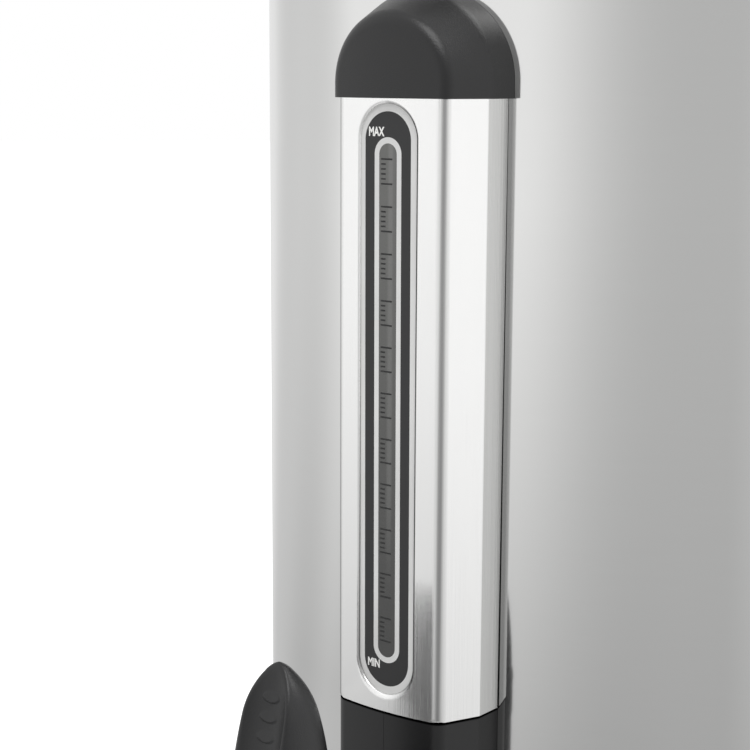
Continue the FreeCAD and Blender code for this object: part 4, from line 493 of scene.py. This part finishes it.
# %% Helpers for pieces
def lathe(profile, steps, centre=(0, 0)):
    """A turned shape from a chain of (radius, height) corners, in millimetres."""
    bm = bmesh.new()
    across, along = centre[0] * MM, centre[1] * MM
    corners = [bm.verts.new((across + radius * MM, along, height * MM)) for radius, height in profile]
    rails = [bm.edges.new(pair) for pair in zip(corners, corners[1:])]
    bmesh.ops.spin(bm, geom=corners + rails, cent=(across, along, 0), axis=(0, 0, 1), angle=2 * math.pi,
                   steps=steps, use_merge=True)
    bmesh.ops.remove_doubles(bm, verts=bm.verts, dist=1e-6)
    bmesh.ops.recalc_face_normals(bm, faces=bm.faces)
    return bm


def soften(bm, radius, segments, chosen):
    """Rounds the edges for which chosen(middle of the edge in mm, edge) holds."""
    picked = [edge for edge in bm.edges if chosen((edge.verts[0].co + edge.verts[1].co) / (2 * MM), edge)]
    bmesh.ops.bevel(bm, geom=picked, offset=radius * MM, offset_type="OFFSET", segments=segments, profile=0.5,
                    affect="EDGES", material=-1, clamp_overlap=True)


def hand_over(bm, name, finish, body, stands_for=(), sharp_above=35):
    """Makes the mesh a piece of the urn that rides on a body and may stand for solids."""
    mesh = bpy.data.meshes.new(name)
    bm.to_mesh(mesh)
    bm.free()
    mesh.materials.append(finish)
    mesh.shade_smooth()
    mesh.set_sharp_from_angle(angle=math.radians(sharp_above))
    piece = bpy.data.objects.new(name, mesh)
    bpy.context.scene.collection.objects.link(piece)
    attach(piece, body)
    if stands_for:
        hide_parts(*stands_for)
    print(name, len(mesh.polygons), "faces")
    return piece


# %% [markdown]
# The tank's wall is one turned sheet with a half-round bead at the rim. It is turned again here with far more
# steps than the solid has, because brushed steel shows every flat.

# %% Tank wall
tank_radius, wall, bead = 152, 0.8, 2.4
rim, halfway, tank_low = 440, 250, 68
bead_steps = 8
profile = [(tank_radius - wall, tank_low), (tank_radius, tank_low), (tank_radius, halfway),
           (tank_radius, rim - 2 * bead)]
for step in range(1, bead_steps + 1):
    bend = math.radians(-90 + 180 / bead_steps * step)
    profile.append((tank_radius + bead * math.cos(bend), rim - bead + bead * math.sin(bend)))
profile += [(tank_radius - wall, rim), (tank_radius - wall, halfway), (tank_radius - wall, tank_low)]
bm = lathe(profile, 256)
hand_over(bm, "tank_wall", tank_steel, "urn", ["tank_shell"])

# %% [markdown]
# The gauge column is folded from one sheet: a slightly curved front, a slanting facet on each side, and a
# facet that runs back to the tank. A long slot is cut in the front and its edge is rolled in. The slot is
# made first, as rings that step inwards, then the front grows from it, and is extruded to the sides.

# %% Column cover
joint = 376
cover_low, cover_high = 187.45, 378
front_half, fold_half, fold_depth, back_depth = 20, 25.8, 160, 150
crown, curve = 175.5, 106
slot_half, slot_top, slot_bottom = 10.55, 374.4, 193.0
half_turn = 24


def front_at(across):
    """The Y of the column's curved front at a place across it, in millimetres."""
    return -(crown - curve + math.sqrt(curve ** 2 - across ** 2))


def stadium_ring(bm, radius, top, bottom, depth):
    """A ring of edges round an upright slot, at one depth."""
    start = math.pi / (2 * half_turn)
    facing = Matrix.Rotation(math.pi / 2, 4, "X") @ Matrix.Rotation(start, 4, "Z")
    ring = bmesh.ops.create_circle(bm, segments=2 * half_turn, radius=radius * MM, matrix=facing)["verts"]
    for vert in ring:
        vert.co.z += (top - radius if vert.co.z > 0 else bottom + radius) * MM
        vert.co.y = depth * MM
    return ring, list({edge for vert in ring for edge in vert.link_edges})


# the slot's edge rolls in through these angles, and -1 stands for the cut edge behind the roll
edge_angles = (-1, 0, 15, 30, 45, 60, 75, 90)
roll_width, roll_depth, low_stretch, cut_depth = 1.08, 1.1, 1.8, 0.6
bm = bmesh.new()
rings = []
for turned_in in edge_angles:
    angle = math.radians(max(turned_in, 0))
    grow = roll_width * (1 - math.cos(angle))
    back = roll_depth * (1 - math.sin(angle)) + (cut_depth if turned_in < 0 else 0)
    verts, edges = stadium_ring(bm, slot_half + grow, slot_top + grow, slot_bottom - grow * low_stretch, 0)
    for vert in verts:
        vert.co.y = (front_at(vert.co.x / MM) + back) * MM
    rings.append((verts, edges))
for (_, inner), (_, outer) in zip(rings, rings[1:]):
    bmesh.ops.bridge_loops(bm, edges=inner + outer)
outside = bmesh.ops.extrude_edge_only(bm, edges=rings[-1][1])["geom"]
border = [item for item in outside if isinstance(item, bmesh.types.BMVert)]
high_centre, low_centre = slot_top - slot_half, slot_bottom + slot_half
long_slot = slot_top - slot_bottom
for vert in border:
    x, z = vert.co.x / MM, vert.co.z / MM
    centre = high_centre if z > (high_centre + low_centre) / 2 else low_centre
    reach = cover_high - centre if centre == high_centre else centre - cover_low
    aim = Vector((x, z - centre)).normalized()
    stretch = min(front_half / max(abs(aim.x), 1e-6), reach / max(abs(aim.y), 1e-6))
    vert.co.x, vert.co.z = aim.x * stretch * MM, (centre + aim.y * stretch) * MM
for sign in (-1, 1):
    for height in (cover_low, cover_high):
        corner = Vector((sign * front_half * MM, 0, height * MM))
        nearest = min(border, key=lambda vert: (Vector((vert.co.x, 0, vert.co.z)) - corner).length)
        nearest.co.x, nearest.co.z = corner.x, corner.z
for vert in border:
    vert.co.y = front_at(vert.co.x / MM) * MM
fold_run, return_run = -fold_depth - front_at(front_half), fold_depth - back_depth
for sign in (-1, 1):
    side = [edge for edge in bm.edges if edge.is_boundary
            and all(abs(vert.co.x - sign * front_half * MM) < 1e-6 for vert in edge.verts)]
    for across, along in ((fold_half - front_half, fold_run), (0, return_run)):
        grown = bmesh.ops.extrude_edge_only(bm, edges=side)["geom"]
        side = [item for item in grown if isinstance(item, bmesh.types.BMEdge)]
        moved = [item for item in grown if isinstance(item, bmesh.types.BMVert)]
        bmesh.ops.translate(bm, verts=moved, vec=(sign * across * MM, along * MM, 0))
print("flat cover", len(bm.faces), "faces")

# %% [markdown]
# The folds are rounded next, since sheet can't bend sharply. Low down, the column's rear edges stand a
# little off the tank, which leaves a thin gap. The skin is cut into bands, so that the bend attribute can
# change with height. Then it gets its thickness, and its lower edge is eased.


# %% Cover's folds and thickness
def upright(edge):
    """Whether an edge lies between two faces and runs more up than across."""
    rise = abs(edge.verts[0].co.z - edge.verts[1].co.z)
    return edge.is_manifold and rise > 0.5 * edge.calc_length()


gap, gap_end, gap_length = 0.55, 330, 140
for vert in bm.verts:
    if abs(vert.co.y + back_depth * MM) < 1e-6:
        vert.co.y -= gap * MM * min(1, max(0, (gap_end - vert.co.z / MM) / gap_length))
fold_round, edge_round, near = 2.75, 0.35, 0.01
past_fold = -(fold_depth + back_depth) / 2
soften(bm, fold_round, 14, lambda spot, edge: abs(abs(spot.x) - front_half) < near and upright(edge))
soften(bm, edge_round, 3,
       lambda spot, edge: abs(abs(spot.x) - fold_half) < near and spot.y < past_fold and upright(edge))
bend = bm.verts.layers.float.new("bend")
bands, cover_tall = 8, cover_high - cover_low
for step in range(1, bands):
    height = (cover_low + cover_tall * step / bands) * MM
    bmesh.ops.bisect_plane(bm, geom=bm.verts[:] + bm.edges[:] + bm.faces[:], plane_co=(0, 0, height),
                           plane_no=(0, 0, 1))
fold_peak, fold_spread, fold_drift = 0.82, 1.35, 0.3
rim_start, rim_climb, rim_fade, rim_dull, rim_gain = 1.0, 0.8, 0.25, 0.45, 0.35
# bend values: dull metal and painted shade, darkest in the middle of each fold and on the slot's rolled edge
for vert in bm.verts:
    x, y, z = abs(vert.co.x) / MM, vert.co.y / MM, vert.co.z / MM
    fold = front_half - fold_drift * (cover_high - z) / cover_tall
    away = math.hypot(x - fold, y - front_at(fold))
    vert[bend] = fold_peak * max(0, 1 - (away / fold_spread) ** 2)
    if x < slot_half + roll_width - near:
        down, back = (slot_top - z) / long_slot, y - front_at(x)
        left_rim = max(0, min(1, (back - rim_start + rim_climb * down) / rim_fade))
        left_rim *= rim_dull + rim_gain * down
        # painted shade: on the right the rolled edge is fully dark behind the front face
        right_rim = 1.0 if back > 0.02 else 0.0
        toward_side = min(1, x / slot_half) ** 2 if z < low_centre else max(0.3, min(1, x / slot_half))
        vert[bend] = (left_rim if vert.co.x < 0 else right_rim) * toward_side
bmesh.ops.recalc_face_normals(bm, faces=bm.faces)
front_face = min(bm.faces, key=lambda face: face.calc_center_median().y)
if front_face.normal.y > 0:
    bmesh.ops.reverse_faces(bm, faces=bm.faces)
outer_skin = set(bm.verts)
bmesh.ops.solidify(bm, geom=bm.faces[:], thickness=wall * MM)
soften(bm, edge_round, 4,
       lambda spot, edge: abs(spot.z - cover_low) < near and outer_skin.issuperset(edge.verts))
cover = hand_over(bm, "column_cover", cover_steel, "urn", ["gauge_cover"], 30)
cover.modifiers.new("even_shading", "WEIGHTED_NORMAL").keep_sharp = True

# %% [markdown]
# The label behind the slot is printed: silver grey at its edge and round the window, and black between them.
# The ink is drawn as its own thin sheets, so their edges stay crisp. Its sizes are a half width, a top and a
# bottom, and both heights are measured down from the joint under the cap.

# %% Printed sheets
label_face = -173.95
band, field, ring, window = (11.6, 1.2, 183.4), (8.6, 3.8, 180.8), (5.05, 11.4, 173.3), (3.32, 13.2, 171.5)


def label_shift(height):
    """How far the label sits off the middle at a height, in millimetres: it is stuck on a little askew."""
    return -0.03 - 0.0027 * (height - 195)


def printed_sheet(name, finish, outer, inner):
    """A flat ring of ink between two upright slots, each given as (half width, top, bottom)."""
    bm = bmesh.new()
    edges = []
    for half, top, bottom in (outer, inner):
        edges += stadium_ring(bm, half, joint - top, joint - bottom, 0)[1]
    bmesh.ops.bridge_loops(bm, edges=edges)
    for vert in bm.verts:
        vert.co.y = label_face * MM
        vert.co.x += label_shift(vert.co.z / MM) * MM
    bmesh.ops.recalc_face_normals(bm, faces=bm.faces)
    if bm.faces[:][0].normal.y > 0:
        bmesh.ops.reverse_faces(bm, faces=bm.faces)
    hand_over(bm, name, finish, "urn")


printed_sheet("label_silver_band", silver_ink, band, field)
printed_sheet("label_black_field", black_ink, field, ring)
printed_sheet("label_silver_ring", silver_ink, ring, window)

# %% [markdown]
# The window is a strip of smoked plastic in the label's middle. It carries eleven groups of litre marks,
# which are thin bars of ink: a long one at each end of a group and four short ones between.

# %% Window strip
strip_thick = 1.2
bm = bmesh.new()
outline, _ = stadium_ring(bm, window[0], joint - window[1], joint - window[2], 0)
face = bm.faces.new(outline)
if face.normal.y > 0:
    face.normal_flip()
grown = bmesh.ops.extrude_face_region(bm, geom=[face])["geom"]
bmesh.ops.translate(bm, verts=[item for item in grown if isinstance(item, bmesh.types.BMVert)],
                    vec=(0, strip_thick * MM, 0))
for vert in bm.verts:
    vert.co.y += label_face * MM
    vert.co.x += label_shift(vert.co.z / MM) * MM
bmesh.ops.recalc_face_normals(bm, faces=bm.faces)
hand_over(bm, "window_strip", smoked, "urn", ["gauge_window"])

# %% Litre marks
bm = bmesh.new()
mark_left, long_mark, short_mark, mark_height, ink_thick = -2.56, 4.2, 1.7, 0.46, 0.06
first_mark, group_pitch, mark_pitch = 17.85, 14.12, 1.466
for group in range(11):
    for line in range(6):
        length = long_mark if line in (0, 5) else short_mark
        height = joint - first_mark - group_pitch * group - mark_pitch * line
        made = bmesh.ops.create_cube(bm, size=1)["verts"]
        bmesh.ops.scale(bm, verts=made, vec=(length * MM, ink_thick * MM, mark_height * MM))
        across = mark_left + length / 2 + label_shift(height)
        bmesh.ops.translate(bm, verts=made, vec=(across * MM, (label_face - ink_thick / 2) * MM, height * MM))
hand_over(bm, "litre_marks", mark_ink, "urn")

# %% [markdown]
# Two plain words on the label name the highest and the lowest level. A text curve is turned into a mesh, and
# the mesh is fitted to the width and the height that the word has in print.


# %% Words
def add_word(bm, text, left, low, width, height, face):
    """Adds a word in the plain typeface, as a thin sheet of ink that faces the front."""
    curve = bpy.data.curves.new("letters", "FONT")
    curve.body = text
    curve.offset = 0.035
    letters = bpy.data.objects.new("letters", curve)
    bpy.context.scene.collection.objects.link(letters)
    bpy.context.view_layer.update()
    mesh = bpy.data.meshes.new_from_object(letters)
    bpy.data.objects.remove(letters)
    lowest = Vector([min(vert.co[axis] for vert in mesh.vertices) for axis in range(3)])
    highest = Vector([max(vert.co[axis] for vert in mesh.vertices) for axis in range(3)])
    fit = Matrix.Diagonal((width * MM / (highest.x - lowest.x), height * MM / (highest.y - lowest.y), MM, 1))
    place = Matrix.Translation((left * MM, face * MM, low * MM))
    mesh.transform(place @ Matrix.Rotation(math.pi / 2, 4, "X") @ fit @ Matrix.Translation(-lowest))
    bm.from_mesh(mesh)
    bpy.data.meshes.remove(mesh)


bm = bmesh.new()
word_face = label_face - 0.05
add_word(bm, "MAX", -7.7, joint - 11.2, 5.9, 2.8, word_face)
add_word(bm, "MIN", -7.3, joint - 175.5, 4.7, 2.7, word_face)
hand_over(bm, "level_words", white_ink, "urn")

# %% [markdown]
# The dial round the thermostat's knob carries plain numbers for the temperature, the knob has a painted
# pointer, and the rocker has the usual line for on and circle for off. All are thin coats of white ink.

# %% Dial numbers
bm = bmesh.new()
control, dial_face, number_ring, number_tall, digit_wide = 38, -150.64, 20.1, 2.5, 1.75
for number, degrees in (("0", 0), ("30", 54), ("45", 108), ("60", 162), ("75", 216), ("90", 270)):
    across, rise = math.sin(math.radians(degrees)), math.cos(math.radians(degrees))
    wide = digit_wide * len(number)
    left, low = number_ring * across - wide / 2, control + number_ring * rise - number_tall / 2
    add_word(bm, number, left, low, wide, number_tall, dial_face)
hand_over(bm, "dial_numbers", white_ink, "urn")

# %% Knob pointer
bm = bmesh.new()
pointer_half, pointer_top, pointer_low, knob_face = 0.5, 13.0, 4.0, -168.04
outline, _ = stadium_ring(bm, pointer_half, control + pointer_top, control + pointer_low, knob_face)
face = bm.faces.new(outline)
if face.normal.y > 0:
    face.normal_flip()
hand_over(bm, "knob_pointer", white_ink, "knob")

# %% Rocker marks
bm = bmesh.new()
line_half, line_reach, circle_outer, circle_inner = 0.28, 1.2, 1.5, 1.05
line_rise, circle_rise, ink_gap = 3.6, -3.4, 0.04
# the rocker's face rises out of a valley by these two depths, over the flat's height
switch_x, valley, flat_rise, low_depth, high_depth = 38, -151.5, 6.48, 2.8, 0.8
bmesh.ops.create_circle(bm, cap_ends=True, segments=32, radius=line_half * MM)
for vert in bm.verts:
    vert.co.y += math.copysign(line_reach * MM, vert.co.y)
outer = bmesh.ops.create_circle(bm, segments=40, radius=circle_outer * MM)["verts"]
inner = bmesh.ops.create_circle(bm, segments=40, radius=circle_inner * MM)["verts"]
rims = list({edge for vert in outer + inner for edge in vert.link_edges})
bmesh.ops.bridge_loops(bm, edges=rims)
circle = set(outer + inner)
for vert in bm.verts:
    low = vert in circle
    rise = vert.co.y / MM + (circle_rise if low else line_rise)
    forward = abs(rise) * (low_depth if low else high_depth) / flat_rise
    vert.co = Vector((switch_x + vert.co.x / MM, valley - forward - ink_gap, control + rise)) * MM
bmesh.ops.recalc_face_normals(bm, faces=bm.faces)
for face in bm.faces:
    if face.normal.y > 0:
        face.normal_flip()
hand_over(bm, "rocker_marks", white_ink, "rocker")

# %% [markdown]
# The tap's handle is a moulded bullet that a thumb pulls forward. Its front is hollowed by a tilted round
# cutter, the crease where hollow and bullet meet is soft, and three low ridges in the hollow give grip. Each
# is steep on its lower edge, where the thumb pushes. The handle is turned first; then every point inside the
# cutter is pushed out to it, and the ridges are raised. Its foot is a cam, with a slot for the blade of the
# valve's stem.


# %% Tap handle
def swell(start, end, radius, steps):
    """Corners along an arc between two (radius, height) corners that bulges away from the lathe's axis."""
    start, end = Vector(start), Vector(end)
    chord = end - start
    inwards = Vector((-chord.y, chord.x)).normalized()
    centre = (start + end) / 2 + inwards * math.sqrt(radius ** 2 - (chord.length / 2) ** 2)
    first = math.atan2(start.y - centre.y, start.x - centre.x)
    last = math.atan2(end.y - centre.y, end.x - centre.x)
    angles = [first + (last - first) * step / steps for step in range(steps + 1)]
    return [(centre.x + radius * math.cos(angle), centre.y + radius * math.sin(angle)) for angle in angles]


def carve(bm, tools):
    """What is left of a closed mesh when closed tools are cut from it."""
    stock = []
    for part in [bm] + tools:
        mesh = bpy.data.meshes.new("stock")
        part.to_mesh(mesh)
        part.free()
        stock.append(bpy.data.objects.new("stock", mesh))
        bpy.context.scene.collection.objects.link(stock[-1])
    for tool in stock[1:]:
        modifier = stock[0].modifiers.new("cut", "BOOLEAN")
        modifier.operation = "DIFFERENCE"
        modifier.object = tool
    bpy.context.view_layer.update()
    mesh = bpy.data.meshes.new_from_object(stock[0].evaluated_get(bpy.context.evaluated_depsgraph_get()))
    carved = bmesh.new()
    carved.from_mesh(mesh)
    bpy.data.meshes.remove(mesh)
    for left_over in stock:
        bpy.data.objects.remove(left_over)
    return carved


tap_axis, pin_height = -223, 184
foot, foot_radius, waist, waist_height = 176, 14.8, 10.9, 201.6
tip_radius, tip_height, lever_top = 4.5, 213.2, 216.4
side_swell, shoulder_swell, tip_swell = 135, 29.5, 9
profile = [(foot_radius * step / 10, foot) for step in range(10)]
profile += swell((foot_radius, foot), (waist, waist_height), side_swell, 100)
profile += swell((waist, waist_height), (tip_radius, tip_height), shoulder_swell, 50)[1:]
profile += swell((tip_radius, tip_height), (0, lever_top), tip_swell, 16)[1:]
bm = lathe(profile, 240, (0, tap_axis))
lean, crease = math.radians(15.5), 2.6
hollow_way = Vector((0, math.sin(lean), math.cos(lean)))
hollow_low, hollow_radius = Vector((0, -250.9, 170)), 14
ridge_half, ridge_rise, ridge_height, ridge_low, ridge_pitch = 3.15, 1.75, 0.7, 195.3, 5.6
ridge_steep, ridge_fall = 0.22, 0.7
cam_centre, cam_radius = Vector((0, tap_axis - 5, pin_height)), 8
nod, nod_low = 1.0, 192
for vert in bm.verts:
    spot = vert.co / MM
    nearest = hollow_low + hollow_way * (spot - hollow_low).dot(hollow_way)
    away = (spot - nearest).length
    blend = max(crease - abs(away - hollow_radius), 0) / crease
    spot = nearest + (spot - nearest).normalized() * (max(away, hollow_radius) + blend ** 2 * crease / 4)
    for number in range(3):
        width = math.sqrt(max(0, 1 - (spot.x / ridge_half) ** 2))
        rise = (spot.z - ridge_low - ridge_pitch * number) / ridge_rise
        if spot.y < tap_axis and abs(rise) < width:
            edge = min(1, (rise + width) / ridge_steep)
            spot.y -= ridge_height * edge * math.sqrt(width) * ((width - rise) / (2 * width)) ** ridge_fall
    off_cam = Vector((0, spot.y - cam_centre.y, spot.z - cam_centre.z))
    if spot.z < pin_height and spot.y < cam_centre.y and off_cam.length > cam_radius:
        spot = cam_centre + Vector((spot.x, 0, 0)) + off_cam * cam_radius / off_cam.length
    spot.y -= nod * max(0, (spot.z - nod_low) / (lever_top - nod_low)) ** 1.5
    vert.co = spot * MM
bmesh.ops.recalc_face_normals(bm, faces=bm.faces)
print("solid handle", len(bm.faces), "faces")

# %% Slot and pin hole
blade_half, blade_round, slot_low, slot_run = 3.3, 5, -14, 16
pin_radius, drill_length = 2.05, 36
outline = [(blade_round, slot_low), (blade_round, 0)]
outline += [(blade_round * math.cos(math.radians(turn)), blade_round * math.sin(math.radians(turn)))
            for turn in range(9, 136, 9)]
outline += [(outline[-1][0] - slot_run, outline[-1][1] - slot_run), (outline[-1][0] - slot_run, slot_low)]
slot = bmesh.new()
face = slot.faces.new([slot.verts.new((-blade_half * MM, (tap_axis + y) * MM, (pin_height + z) * MM))
                       for y, z in outline])
grown = bmesh.ops.extrude_face_region(slot, geom=[face])["geom"]
bmesh.ops.translate(slot, verts=[item for item in grown if isinstance(item, bmesh.types.BMVert)],
                    vec=(2 * blade_half * MM, 0, 0))
bmesh.ops.recalc_face_normals(slot, faces=slot.faces)
drill = bmesh.new()
across = Matrix.Translation((0, tap_axis * MM, pin_height * MM)) @ Matrix.Rotation(math.pi / 2, 4, "Y")
bmesh.ops.create_cone(drill, cap_ends=True, segments=48, radius1=pin_radius * MM, radius2=pin_radius * MM,
                      depth=drill_length * MM, matrix=across)
handle = carve(bm, [slot, drill])
hand_over(handle, "tap_handle", satin_black, "tap_lever", ["tap_lever"], 50)

# %% [markdown]
# The spring that shuts the tap is a coil of 1.2 mm wire. It stands on the stem's collar and its top stays
# under the bonnet's roof, so on the urn it shortens while the lever lifts the stem; this coil keeps one
# length.
# A circle spun along a screw line makes the coil, and its two ends are closed.

# %% Closing spring
coil_radius, wire_radius, coils, coil_steps = 6.8, 0.6, 7, 24
coil_low, coil_high, stem_travel = 136.55, 170.95, 3.536
bm = bmesh.new()
start = Matrix.Translation((coil_radius * MM, tap_axis * MM, (coil_low + wire_radius) * MM))
bmesh.ops.create_circle(bm, segments=12, radius=wire_radius * MM,
                        matrix=start @ Matrix.Rotation(math.pi / 2, 4, "X"))
climb = (coil_high - coil_low - 2 * wire_radius) / (coils * coil_steps)
bmesh.ops.spin(bm, geom=list(bm.verts) + list(bm.edges), cent=(0, tap_axis * MM, 0), axis=(0, 0, 1),
               dvec=(0, 0, climb * MM), angle=2 * math.pi * coils, steps=coils * coil_steps)
bmesh.ops.holes_fill(bm, edges=bm.edges, sides=12)
bmesh.ops.recalc_face_normals(bm, faces=bm.faces)
spring = hand_over(bm, "closing_spring", zinc_plate, "urn", ["tap_spring"], 50)
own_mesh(spring)
tall = [vert.co.z / MM for vert in spring.data.vertices]
print("spring from", round(min(tall), 2), "to", round(max(tall), 2))
